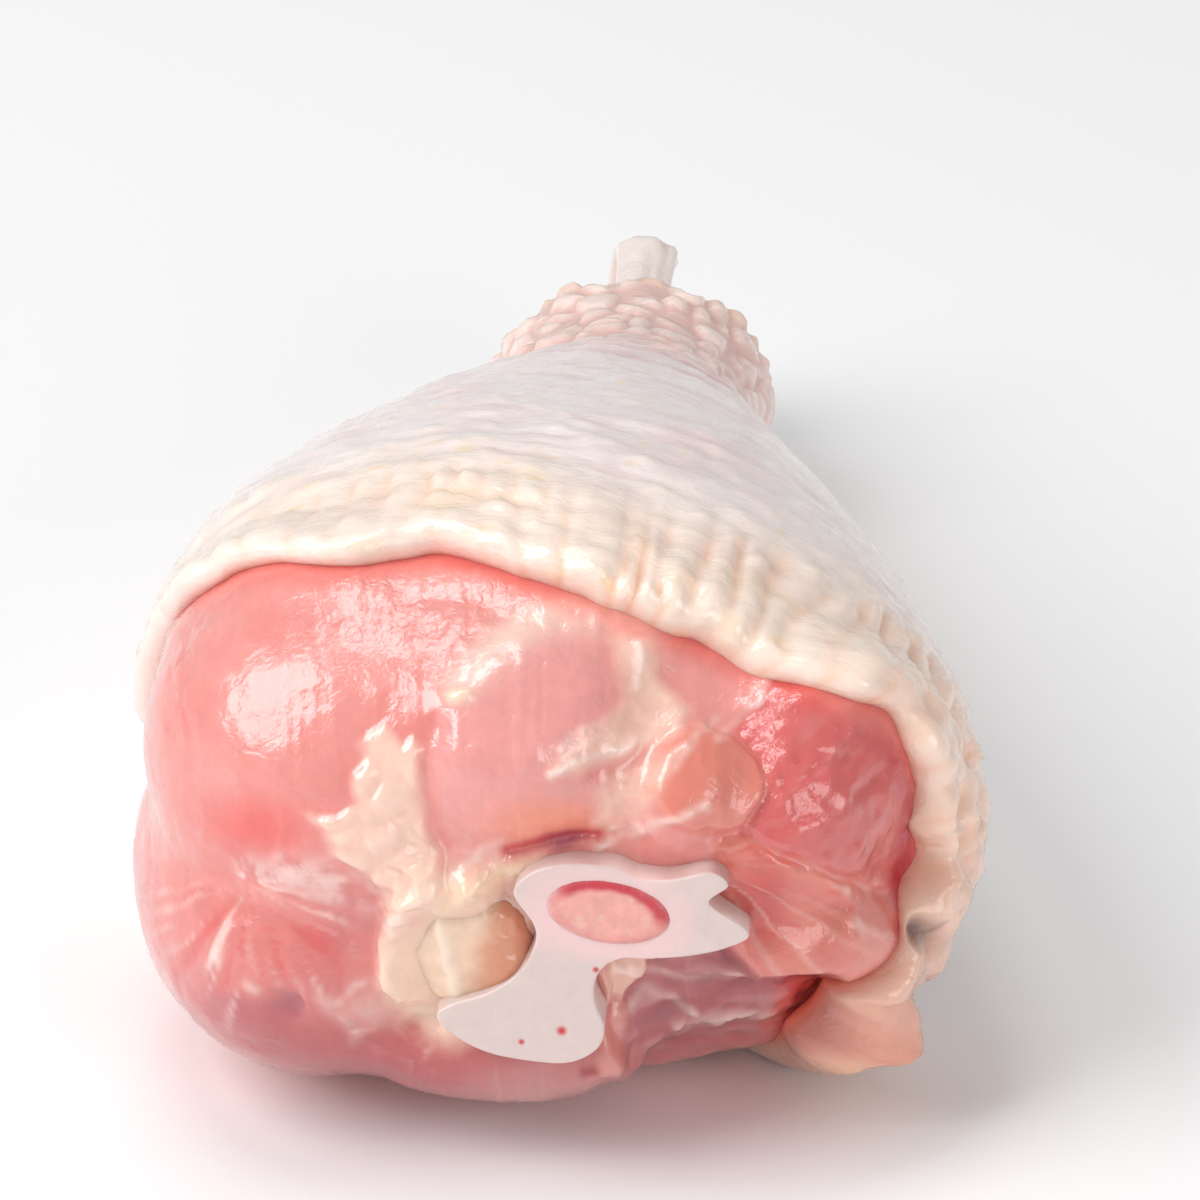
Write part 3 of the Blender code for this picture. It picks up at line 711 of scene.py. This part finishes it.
def meat_detail(start, way, distance, along, turn):
    """Relief in mm and colour of the meat."""
    point = start + way * distance[..., None]
    seen = ramp(-0.05, 0.25, way @ BACK) * ramp(36, 33, along)
    face = Face(*photo_pixel(point), seen).warped(point, (3, 4), (1.2, 1.6), 3)
    m = meat_masks(point, face, along, turn)
    meat_fibres(face, m)
    paint = Paint(point, 234, 138, 130)
    muscle_colour(paint.lay, point, face, m)
    fibre_colour(paint.lay, face, m)
    fat_colour(paint.lay, face, m)
    border_colour(paint.lay, face, m, turn)
    hidden = ramp(0, 2.5, -m.bare) * (1 - ramp(-3, 0, along - rear_edge(turn)))
    return meat_relief(point, face, m, turn) * (1 - hidden), paint.colour


def skin_masks(point, along, turn):
    """What the skin's colour and relief share, by name."""
    m = SimpleNamespace()
    m.broad = clouds(point, 9, 51)
    m.crumple = clouds(point, 3.2, 55)
    m.fine = clouds(point, 1.1, 59, 2)
    m.back = along - front_edge(turn)
    m.right = 0.5 + 0.5 * np.cos(turn - radians(45))
    m.upper = ramp(-0.5, 0.3, np.sin(turn))
    m.ankle = ramp(92, 106, along)
    m.neck = ramp(74, 90, along) * ramp(113, 102, along)
    m.near_face = ramp(-34, -40, point[..., 1])
    m.flat = stacked(turn * LEG_RADIUS, along, 0)
    seam = ramp(-pi, -2.9, turn) * ramp(pi, 2.9, turn)

    m.lip = ramp(LIP_ROLL + 1.4, LIP_ROLL - 0.6, m.back + 0.8 * m.crumple)
    m.crease = np.exp(-((m.back + 1.2 * m.crumple - LIP_ROLL - 0.6) / 0.8) ** 2)
    m.crease *= ramp(-0.3, 0.5, noise(m.flat, (11, 9, 1), 78))
    across = turn * LEG_RADIUS / PILLOW + 0.55 * noise(m.flat, (4, 7, 1), 62)
    m.pillows = np.abs(np.sin(pi * across)) ** 1.2 - 0.55
    m.pillows *= 0.35 + 0.65 * ramp(-0.4, 0.6, noise(m.flat, (9, 6, 1), 64))
    m.pillows *= ramp(12, 6, m.back) * m.right**1.5
    first, _ = grains(point, 3, 61)
    m.follicles = np.exp(-(first / 0.3) ** 2) * (1 - m.ankle) * (1 - m.lip)
    m.follicles *= 0.3 + 0.7 * ramp(45, 6, m.back)
    m.wrinkles = noise(m.flat, (6, 1.1, 1), 66) + 0.6 * noise(m.flat, (3.5, 1.7, 1), 68)
    m.wrinkles *= seam * (1 - m.lip) * (1 - m.ankle)
    ring_place = stacked(along + 1.2 * m.crumple, turn * ANKLE_RADIUS, 0)
    m.rings = noise(ring_place, (1.25, 11, 1), 65) * seam
    first, second = grains(point + 0.15 * m.crumple[..., None], SCALE, 67, 0.8)
    m.scales = ramp(0.02, 0.4, second - first)
    m.flap = bump(turn, 0, 26) * ramp(13, 2, m.back)
    m.folds = 0.5 - 1.6 * np.abs(noise(point, (3.6, 3.6, 2.6), 71))
    return m


def skin_relief(point, face, shaded_hole, m):
    """Relief of the skin in mm."""
    relief = 0.45 * m.broad + 0.22 * m.crumple + 0.05 * m.fine
    relief += 0.35 * m.lip - 0.35 * m.crease * (0.3 + 0.7 * m.right)
    relief += m.lip * (0.32 * noise(point, (2.2, 1.6, 2.2), 74) + 0.12 * noise(point, 0.9, 76))
    relief += 1.25 * m.pillows + 0.36 * m.follicles + 0.1 * m.wrinkles + 0.38 * m.rings * m.neck
    relief += 0.55 * (m.scales - 0.6) * m.ankle * (0.35 + 0.65 * m.upper)
    relief += m.flap * (1.1 * m.folds + 0.45 * noise(point, 1.7, 72))
    for centre, size, height in FAT_LUMPS:
        away = np.linalg.norm(point - centre, axis=-1)
        relief += height * np.exp(-(away / size) ** 2)
    relief += face.spot(FLAP_LOBE) * 0.7 - face.spot(FLAP_NOTCH) * 1.4
    return relief - face.spot(FLAP_CORNER) * 1.6 - shaded_hole * 1.6


def skin_colour(point, face, shaded_hole, m, turn):
    """Colour of the skin."""
    paint = Paint(point, 253, 240, 238)
    lay = paint.lay
    lay(0.6 * ramp(-0.1, 0.9, m.broad), 251, 224, 222)
    lay(0.5 * ramp(0, 0.9, m.crumple), 248, 228, 232)
    lay(0.5 * ramp(0, 0.9, -m.broad), 255, 246, 242)
    near_edge = ramp(17, 3, m.back)
    lay(near_edge * 0.6, 255, 238, 224)
    lay(near_edge * m.right * 0.5, 255, 228, 204)
    yellow = ramp(0.15, 0.8, clouds(point, 2.4, 75)) * ramp(22, 4, m.back)
    lay(yellow * 0.45, 253, 224, 184)
    lay(m.lip * 0.5 * ramp(0.1, 0.9, -m.crumple), 248, 214, 200)
    flecks, _ = grains(m.flat, (5.2, 3.4, 5), 77)
    lay(ramp(0.16, 0.06, flecks) * (1 - m.ankle) * 0.5, 250, 212, 136)
    lay(m.follicles * 0.35, 253, 240, 214)
    lay(0.35 * ramp(0, 0.9, -m.wrinkles), 238, 206, 204)
    # painted shade: peach in the valleys between the pillows on the rolled edge
    lay(0.7 * ramp(0, -0.35, m.pillows), 248, 194, 158)
    lay(m.crease * 0.5, 250, 206, 160)
    lay(m.neck * 0.45, 232, 186, 178)
    lay(m.neck * 0.6 * ramp(0, 0.7, -m.rings), 212, 128, 124)
    lay(m.ankle * 0.7, 248, 222, 210)
    lay(m.ankle * ramp(0, 0.8, m.broad) * 0.5, 244, 202, 192)
    lay(m.ankle * ramp(0.6, 0, m.scales) * 0.6 * m.upper, 226, 168, 158)
    lay(bump(turn, 2, 22) * near_edge * 0.6, 255, 212, 188)
    under = bump(turn, 330, 17) * ramp(9, 1, m.back)
    lay(under * 0.95, 224, 142, 116)
    lay(under * ramp(732, 712, face.x) * 0.8, 190, 112, 102)
    lay(under * ramp(878, 890, face.y + 4 * m.crumple) * 0.7, 246, 196, 164)
    lay(m.flap * ramp(0.1, -0.6, m.folds) * 0.6, 236, 172, 142)
    # painted light: orange-red glow and shade on the lip's inner side where it meets the meat
    lay(m.contact * 0.8, 255, 140, 108)
    # painted shade: dark inside the torn opening in the flap
    lay(shaded_hole * 0.95, 92, 38, 28)
    lay(m.rim * 0.6, 248, 214, 190)
    return paint.colour


def skin_detail(point, along, turn, share):
    """Relief in mm and colour of the skin."""
    m = skin_masks(point, along, turn)
    # painted glow and shade on the lip's inner side, where it meets the meat
    m.contact = ramp(0.45, 0.1, share) * ramp(2, 0, m.back)
    m.rim = ramp(-1.5, 0.5, along - rear_edge(turn) + m.crumple)
    x, y = photo_pixel(point)
    face = Face(x, y, m.near_face)
    # the torn opening in the flap, dented and painted dark as shade
    shaded_hole = Face(x + 3 * m.crumple, y + 3 * m.fine, m.near_face).spot(TORN_SPOT)
    return skin_relief(point, face, shaded_hole, m), skin_colour(point, face, shaded_hole, m, turn)


def object_from(name, bm, places, colour):
    """A shaded object with its vertices at their places and its colours stored."""
    mesh = bpy.data.meshes.new(name)
    bm.to_mesh(mesh)
    bm.free()
    mesh.vertices.foreach_set("co", ((places + slide) * MM).ravel())
    mesh.shade_smooth()
    store = mesh.attributes.new("tint", "FLOAT_COLOR", "POINT")
    rgba = np.concatenate([np.clip(colour, 0, 1), np.ones((len(colour), 1))], -1)
    store.data.foreach_set("color", rgba.ravel())
    mesh.update()
    thing = bpy.data.objects.new(name, mesh)
    bpy.context.collection.objects.link(thing)
    return thing


def vertex_places(bm):
    """Every vertex's place as rows of numbers."""
    return np.array([v.co[:] for v in bm.verts])


def meat_piece():
    """The meat: a fine ball moved to the meat's form."""
    rows = FACE_ROWS + COVERED_ROWS + ANKLE_ROWS
    bm = bmesh.new()
    bmesh.ops.create_uvsphere(bm, u_segments=MEAT_COLUMNS, v_segments=rows, radius=1.0)
    ball = vertex_places(bm)
    row = np.arccos(np.clip(-ball[:, 2], -1, 1)) / pi * rows
    turn = np.arctan2(ball[:, 1], ball[:, 0])
    covered_from = front_edge(turn) + 1.2
    covered_to = rear_edge(turn) - 1.0
    on_face = np.clip(row / FACE_ROWS, 0, 1)
    in_skin = np.clip((row - FACE_ROWS) / COVERED_ROWS, 0, 1)
    at_ankle = np.clip((row - FACE_ROWS - COVERED_ROWS) / ANKLE_ROWS, 0, 1)
    along = covered_from * on_face + (covered_to - covered_from) * in_skin
    along += (END - covered_to) * at_ankle
    start, way, distance, _, _ = layers(along, turn)
    relief, colour = meat_detail(start, way, distance, along, turn)
    distance = np.minimum(distance + relief, floor_reach(start, way, MEAT_OVER_FLOOR))
    bmesh.ops.reverse_faces(bm, faces=bm.faces[:])
    return object_from("meat_flesh", bm, start + way * distance[:, None], colour)


def skin_section(turn, place):
    """Place along the leg and share of the thickness, for rows round the section."""
    front, rear, half = front_edge(turn), rear_edge(turn), lip_thickness(turn) / 2
    lip_end = SKIN_ROWS + LIP_ROWS
    inner_end = lip_end + INNER_ROWS
    lip = (place - SKIN_ROWS + 1) / (LIP_ROWS + 1) * pi
    rim = (place - inner_end + 1) / (RIM_ROWS + 1) * pi
    outer, inner = (front + (rear - front) * np.clip(share, 0, 1) ** 1.1 for share in (
        1 - place / (SKIN_ROWS - 1), (place - lip_end) / (INNER_ROWS - 1)))
    zones = [place < SKIN_ROWS, place < lip_end, place < inner_end]
    along = np.select(zones, [outer, front - half * np.sin(lip), inner],
                      rear + half * 0.5 * np.sin(rim))
    ragged = noise(stacked(turn * ANKLE_SEAM_RADIUS, 0, 0), (2.2, 1, 1), 79)
    along += 0.9 * ragged * ramp(rear - 3, rear, along) * ramp(-pi, -2.9, turn)
    wavy = noise(stacked(turn * LEG_RADIUS, 0, 0), (3, 1, 1), 85)
    along -= 0.5 * wavy * ramp(front + 3, front - 0.5, along)
    for at, spread, longer in TAGS:
        along -= longer * bump(turn, at, spread) * ramp(front + 4, front - 0.5, along)
    return along, np.select(zones, [1, (1 + np.cos(lip)) / 2, 0], (1 - np.cos(rim)) / 2)


def skin_piece():
    """The skin: a fine ring moved to the skin's section, with relief outside."""
    section = SKIN_ROWS + LIP_ROWS + INNER_ROWS + RIM_ROWS
    bpy.ops.mesh.primitive_torus_add(
        major_segments=SKIN_COLUMNS, minor_segments=section, major_radius=2.0, minor_radius=1.0)
    ring = bpy.context.object
    bm = bmesh.new()
    bm.from_mesh(ring.data)
    bpy.data.objects.remove(ring, do_unlink=True)
    torus = vertex_places(bm)
    turn = np.arctan2(torus[:, 1], torus[:, 0])
    out = np.hypot(torus[:, 0], torus[:, 1]) - 2.0
    place = (np.arctan2(torus[:, 2], out) % (2 * pi)) / (2 * pi) * section
    along, share = skin_section(turn, np.round(place) % section)
    front, rear = front_edge(turn), rear_edge(turn)
    start, way, _, inside, outside = layers(along, turn)
    at, spread, thinner = LIP_THIN
    outside = outside - thinner * bump(turn, at, spread) * ramp(front + 14, front + 1, along)
    inside = inside - LIP_SINK * ramp(front + 9, front + 3, along)
    inside = inside - RIM_SINK * ramp(rear - 7, rear - 0.5, along)
    point = start + way * (inside + (outside - inside) * share)[:, None]
    relief, colour = skin_detail(point, along, turn, share)
    off_floor = ramp(0.2, 2.5, (start + way * outside[:, None])[:, 2])
    outside = np.minimum(outside + relief * off_floor, floor_reach(start, way, 0))
    distance = inside + (outside - inside) * share
    return object_from("skin_sleeve", bm, start + way * distance[:, None], colour)


def ball_piece(name, places_of, columns=96, rows=64):
    """A piece whose places and colours follow from directions out of a ball."""
    bm = bmesh.new()
    bmesh.ops.create_uvsphere(bm, u_segments=columns, v_segments=rows, radius=1.0)
    ways = vertex_places(bm)
    places, colour = places_of(ways / np.linalg.norm(ways, axis=1, keepdims=True))
    return object_from(name, bm, places, colour)


def fibula_places(ways):
    """The cream knob of gristle beside the cut bone, with a pale ridge that is partly a painted
    highlight, and a painted shade of warm orange-tan on its right side.
    """
    centre, half = FIBULA
    across = np.clip(ways[:, 0]**2 + ways[:, 2]**2, 0, 1)
    ways = ways.copy()
    ways[:, 1] = np.sign(ways[:, 1]) * 0.85 * np.sqrt(1 - across**2)
    places = centre + ways * half
    wander = clouds(places, 2.6, 81)
    side = (places[:, 0] - centre[0]) / half[0]
    # the pale ridge on the knob's left is raised and painted paler, partly a painted highlight
    ridge = np.exp(-((side + 0.35 + 0.2 * ways[:, 2]) / 0.13) ** 2)
    lift = 0.45 * wander + 0.35 * ridge + 0.15 * clouds(places, 1.2, 83)
    places = places + ways * lift[:, None]
    paint = Paint(places, 242, 206, 178)
    paint.lay(0.7 * ramp(0, 0.8, wander), 236, 184, 144)
    paint.lay(0.7 * ridge, 252, 232, 212)
    # painted shade: a dark warm tone on the knob's right side, away from the light
    side_shade = ramp(-0.25, 0.4, side - 0.25 * ways[:, 2] + 0.3 * wander)
    paint.lay(side_shade * 0.8, 212, 124, 86)
    return places, paint.colour


def knuckle_form(point):
    """Distance outside the two knuckles and the end of the shaft behind them."""
    distance = joined(ball_form(point, *KNUCKLES[0]), ball_form(point, *KNUCKLES[1]), 2.2)
    return joined(distance, ball_form(point, *SHAFT_END), 1.5)


def knuckle_places(ways):
    """The bone's bluish white knuckles at the ankle."""
    start = np.zeros(ways.shape) + KNUCKLE_MIDDLE
    places = start + ways * reach(knuckle_form, start, ways)[:, None]
    wander = clouds(places, 3, 91)
    places = places + ways * (0.12 * wander)[:, None]
    paint = Paint(places, 232, 234, 238)
    paint.lay(0.5 * ramp(0.1, 0.9, wander), 214, 222, 234)
    paint.lay(0.6 * ramp(2.6, 0.4, np.abs(places[:, 0])), 240, 200, 190)
    root = ramp(60.5, 56.5, places[:, 1] + 1.6 * wander)
    paint.lay(root * 0.85, 246, 212, 198)
    places = places + ways * (root * (0.25 + 0.35 * clouds(places, 1.8, 95)))[:, None]
    return places, paint.colour


def smooth_loop(points, steps):
    """A closed curve through the points, with the given steps between neighbours."""
    count = len(points)
    curve = []
    for i in range(count):
        a, b, c, d = (np.array(points[(i + k - 1) % count]) for k in range(4))
        for s in range(steps):
            t = s / steps
            curve.append(0.5 * (2*b + (c - a)*t + (2*a - 5*b + 4*c - d)*t**2
                                + (3*b - a - 3*c + d)*t**3))
    return np.array(curve)


def rings_object(name, rings):
    """A closed body through rings of equally many points, each with its colours."""
    bm = bmesh.new()
    loops = [[bm.verts.new(Vector(p)) for p in ring] for ring, _ in rings]
    for first, second in zip(loops, loops[1:]):
        for i in range(len(first)):
            j = (i + 1) % len(first)
            bm.faces.new((first[i], first[j], second[j], second[i]))
    bm.faces.new(loops[0])
    bm.faces.new(list(reversed(loops[-1])))
    bmesh.ops.triangulate(bm, faces=[f for f in bm.faces if len(f.verts) > 4])
    bmesh.ops.recalc_face_normals(bm, faces=bm.faces[:])
    return object_from(name, bm, vertex_places(bm), np.concatenate([c for _, c in rings]))


def bone_cut_piece():
    """The white cut end: a rounded fishtail plate that tapers into the shaft."""
    outline = smooth_loop(CUT_OUTLINE, 6)
    lean = tan(radians(CUT_LEAN))
    run = np.roll(outline, -1, 0) - np.roll(outline, 1, 0)
    run = run / np.linalg.norm(run, axis=1, keepdims=True)
    side = stacked(-run[:, 1], 0, run[:, 0])
    notch = np.linalg.norm(outline - CUT_NOTCH, axis=1)
    side *= ramp(0.5, 2.6, notch)[:, None]
    rings = []
    for depth, grow, share in CUT_STEPS:
        across, up = ((outline + side[:, ::2] * grow) * share).T
        ring = stacked(across, up * lean + depth, up) + CUT_CENTRE
        wobble = 0.1 * noise(ring, 2, 101) if depth > 0.3 else np.zeros(len(ring))
        paint = Paint(ring, 223, 203, 198)
        paint.lay(0.6 * ramp(0.4, 3.5, np.full(len(ring), depth)), 236, 200, 190)
        rings.append((ring + side * wobble[:, None], paint.colour))
    return rings_object("bone_cut_end", rings)


def marrow_piece():
    """The pink core in the cut bone: a shallow dome with a crimson upper border."""
    centre, width, height, turn = MARROW_FACE
    c, s = cos(radians(turn)), sin(radians(turn))
    lean = tan(radians(CUT_LEAN))
    angle = np.linspace(0, 2 * pi, 120, endpoint=False)
    rings = []
    for share in np.concatenate([np.linspace(0.04, 0.9, 26), np.linspace(0.92, 1.02, 8)]):
        x = width * 1.04 * share * np.cos(angle)
        z = height * 1.06 * share * np.sin(angle)
        across = centre[0] + x * c - z * s
        up = centre[2] + x * s + z * c
        ring = stacked(across, CUT_CENTRE[1] + (up - CUT_CENTRE[2]) * lean - 0.22, up)
        spongy = clouds(ring, 0.55, 111, 2)
        grain = clouds(ring, 1.6, 115)
        fade = ramp(1.02, 0.78, share)
        ring[:, 1] += 0.07 * spongy * fade + 0.3 * (1 - fade)
        paint = Paint(ring, 246, 172, 162)
        paint.lay(0.6 * ramp(-0.1, 0.7, spongy + 0.5 * grain), 248, 202, 190)
        paint.lay(0.45 * ramp(0.55, 0.92, share + 0.05 * grain), 236, 122, 120)
        top = ramp(0.6, 0.78, share + 0.06 * grain) * ramp(-0.1, 0.5, np.sin(angle + 0.25))
        paint.lay(top * 0.92, 208, 34, 58)
        blend = ramp(0.84, 1, share + 0.04 * grain) * (1 - 0.8 * top)
        paint.lay(blend * 0.85, 240, 208, 206)
        rings.append((ring, paint.colour))
    rings.append((ring + (0, MARROW_SUNK, 0), paint.colour))
    return rings_object("marrow_core", rings)


def tendon_piece(name, sections, seed):
    """A cut tendon: a stringy flattened rod with a ragged end."""
    ys = np.array([c[1] for c, _, _ in sections])
    table = np.array([(c[0], c[2], w, h) for c, w, h in sections])
    angle = np.linspace(0, 2 * pi, 64, endpoint=False)
    rings = []
    for y in np.linspace(ys[0], ys[-1], 40):
        x0, z0, width, height = (np.interp(y, ys, table[:, k]) for k in range(4))
        around = stacked(np.cos(angle) * 2.2, np.sin(angle) * 2.2, y)
        strings = noise(around, (0.75, 0.75, 7), seed)
        swell = (1 + 0.14 * strings) * (1 - 0.5 * ramp(ys[-1] - 1.2, ys[-1], y) ** 3)
        ragged = 0.3 * strings * ramp(ys[-1] - 3, ys[-1], y)
        ring = stacked(x0 + width * swell * np.cos(angle), y + ragged,
                       z0 + height * swell * np.sin(angle))
        paint = Paint(ring, 246, 232, 226)
        paint.lay(0.7 * ramp(0, 0.6, -strings), 226, 192, 182)
        rings.append((ring, paint.colour))
    return rings_object(name, rings)


def set_inputs(node, values):
    """Set inputs of a node, by their names or numbers."""
    for name, value in values.items():
        node.inputs[name].default_value = value


def add_node(tree, kind, values):
    """A new shader node with values for some of its inputs."""
    node = tree.nodes.new("ShaderNode" + kind)
    set_inputs(node, values)
    return node


def wet_material(name, soak, shine, rough, fine_size, fine_depth, dark, stretch=(1, 1, 1)):
    """A moist tissue: stored tint, light that soaks in, a clear wet coat and fine bumps."""
    material = bpy.data.materials.new(name)
    material.use_nodes = True
    tree = material.node_tree
    links = tree.links
    shader = tree.nodes["Principled BSDF"]
    shader.subsurface_method = "BURLEY"
    set_inputs(shader, {
        "Roughness": rough, "IOR": 1.45, "Subsurface Weight": soak,
        "Subsurface Radius": (1, 0.42, 0.3), "Subsurface Scale": 2.2 * MM,
        "Coat Weight": shine, "Coat Roughness": 0.12, "Coat IOR": 1.65,
    })

    place = add_node(tree, "TexCoord", {}).outputs["Object"]
    tint = add_node(tree, "Attribute", {})
    tint.attribute_name = "tint"
    mottle = add_node(tree, "TexNoise", {"Scale": 1 / (MOTTLE_SIZE * MM), "Detail": 4.0})
    links.new(place, mottle.inputs["Vector"])
    level = add_node(tree, "MapRange", {
        "From Min": 0.3, "From Max": 0.7, "To Min": 1 - dark, "To Max": 1 + dark * 0.4})
    links.new(mottle.outputs["Fac"], level.inputs["Value"])
    mix = add_node(tree, "VectorMath", {})
    mix.operation = "SCALE"
    links.new(tint.outputs["Color"], mix.inputs[0])
    links.new(level.outputs["Result"], mix.inputs["Scale"])
    links.new(mix.outputs["Vector"], shader.inputs["Base Color"])

    squeeze = add_node(tree, "VectorMath", {1: stretch})
    squeeze.operation = "MULTIPLY"
    links.new(place, squeeze.inputs[0])
    height = None
    for size, strength in ((fine_size, 1), (fine_size * 0.35, 0.4)):
        grain = add_node(tree, "TexNoise", {
            "Scale": 1 / (size * MM), "Detail": 3, "Distortion": 0.6})
        links.new(squeeze.outputs["Vector"], grain.inputs["Vector"])
        bumps = add_node(tree, "Bump", {"Strength": 1, "Distance": fine_depth * strength * MM})
        links.new(grain.outputs["Fac"], bumps.inputs["Height"])
        if height:
            links.new(height.outputs["Normal"], bumps.inputs["Normal"])
        height = bumps
    links.new(height.outputs["Normal"], shader.inputs["Normal"])
    links.new(height.outputs["Normal"], shader.inputs["Coat Normal"])
    return material


def stain(material, spots, colour):
    """Add round spots of a colour at places on the cut bone: place, size and solid middle."""
    tree = material.node_tree
    shader = tree.nodes["Principled BSDF"]
    source = shader.inputs["Base Color"].links[0].from_socket
    place = add_node(tree, "TexCoord", {}).outputs["Object"]
    for middle, size, solid in spots:
        away = add_node(tree, "VectorMath", {1: (middle + slide) * MM})
        away.operation = "DISTANCE"
        tree.links.new(place, away.inputs[0])
        mask = add_node(tree, "MapRange", {"From Min": size * MM, "From Max": solid * MM})
        tree.links.new(away.outputs["Value"], mask.inputs["Value"])
        mix = tree.nodes.new("ShaderNodeMix")
        mix.data_type = "RGBA"
        mix.inputs[7].default_value = (*colour, 1)
        tree.links.new(mask.outputs["Result"], mix.inputs[0])
        tree.links.new(source, mix.inputs[6])
        source = mix.outputs[2]
    tree.links.new(source, shader.inputs["Base Color"])


def floor_material():
    """The plain pale matt floor."""
    material = bpy.data.materials.new("floor")
    material.use_nodes = True
    set_inputs(material.node_tree.nodes["Principled BSDF"], {
        "Base Color": (0.95, 0.95, 0.955, 1), "Roughness": 0.6})
    return material


def placed(thing, material, node):
    """Dress a piece, hang it on the part's body and let it stand for its node."""
    thing.data.materials.append(material)
    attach(thing, "root")
    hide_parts(node)


def aimed(name, data, location, look):
    """A lamp or camera at a place that looks along a direction."""
    thing = bpy.data.objects.new(name, data)
    thing.location = location
    thing.rotation_mode = "QUATERNION"
    thing.rotation_quaternion = look.to_track_quat("-Z", "Y")
    bpy.context.collection.objects.link(thing)
    return thing


def stage_and_camera():
    """Pale floor, soft studio light and the photograph's view."""
    bpy.ops.mesh.primitive_plane_add(size=6.0, location=(0, 0, 0))
    floor = bpy.context.object
    floor.name = "floor"
    floor.data.materials.append(floor_material())
    for name, toward, distance, size, power in LIGHTS:
        light = bpy.data.lights.new(name, "AREA")
        light.shape = "RECTANGLE"
        light.size, light.size_y = size
        light.energy = power
        way = Vector(toward).normalized()
        aimed(name, light, Vector(LIT_PLACE) + way * distance, -way)
    world = bpy.data.worlds.new("studio")
    world.use_nodes = True
    set_inputs(world.node_tree.nodes["Background"], {
        "Color": (1, 1, 1, 1), "Strength": WORLD_GLOW})
    scene = bpy.context.scene
    scene.world = world
    scene.view_settings.view_transform = "Standard"

    camera = bpy.data.cameras.new("photo_view")
    camera.sensor_width = SENSOR_WIDTH
    camera.lens = SENSOR_WIDTH * PHOTO_FOCAL * VIEW_ZOOM / PHOTO_WIDTH
    eye = Vector((EYE + slide) * MM)
    scene.camera = aimed("photo_view", camera, eye, Vector(np.array(VIEW_AT) * MM) - eye)


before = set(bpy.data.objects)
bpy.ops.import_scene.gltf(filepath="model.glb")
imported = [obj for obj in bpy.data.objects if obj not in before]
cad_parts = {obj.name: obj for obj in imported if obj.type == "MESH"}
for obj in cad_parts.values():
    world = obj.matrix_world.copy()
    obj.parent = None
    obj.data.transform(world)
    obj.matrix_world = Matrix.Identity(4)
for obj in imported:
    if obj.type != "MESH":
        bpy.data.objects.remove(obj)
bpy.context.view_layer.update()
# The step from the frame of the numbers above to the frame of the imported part
marrow_low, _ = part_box("marrow")
achilles_low, achilles_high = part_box("achilles_tendon")
slide = np.array([
    (achilles_low[0] + achilles_high[0]) / 2 / MM - ACHILLES_MIDDLE_X,
    marrow_low[1] / MM - MARROW_FACE[0][1],
    0,
])

# Tissues: light that soaks in, wet shine, roughness, size and depth of fine bumps, mottling
flesh = wet_material("wet_meat", 0.45, 1, 0.4, 1, 0.08, 0.06)
hide = wet_material("moist_skin", 0.4, 0.9, 0.42, 0.9, 0.11, 0.04, (0.6, 1.2, 0.6))
gristle = wet_material("wet_gristle", 0.4, 0.8, 0.35, 1.6, 0.1, 0.05)
white = wet_material("wet_bone", 0.3, 0.6, 0.34, 1.8, 0.08, 0.04)
core = wet_material("wet_marrow", 0.4, 0.6, 0.42, 0.5, 0.1, 0.1)
string = wet_material("wet_tendon", 0.3, 0.8, 0.32, 0.7, 0.08, 0.05)
stain(white, HALO, tone(246, 206, 204))
stain(white, BLOOD_DOTS, tone(206, 40, 52))

placed(meat_piece(), flesh, "meat")
placed(skin_piece(), hide, "skin")
placed(bone_cut_piece(), white, "tibia")
placed(ball_piece("bone_knuckles", knuckle_places), white, "tibia")
placed(marrow_piece(), core, "marrow")
placed(ball_piece("fibula_knob", fibula_places), gristle, "fibula_head")
placed(tendon_piece("achilles_end", ACHILLES, 121), string, "achilles_tendon")
placed(tendon_piece("extensor_end", EXTENSOR, 131), string, "extensor_tendon")

stage_and_camera()
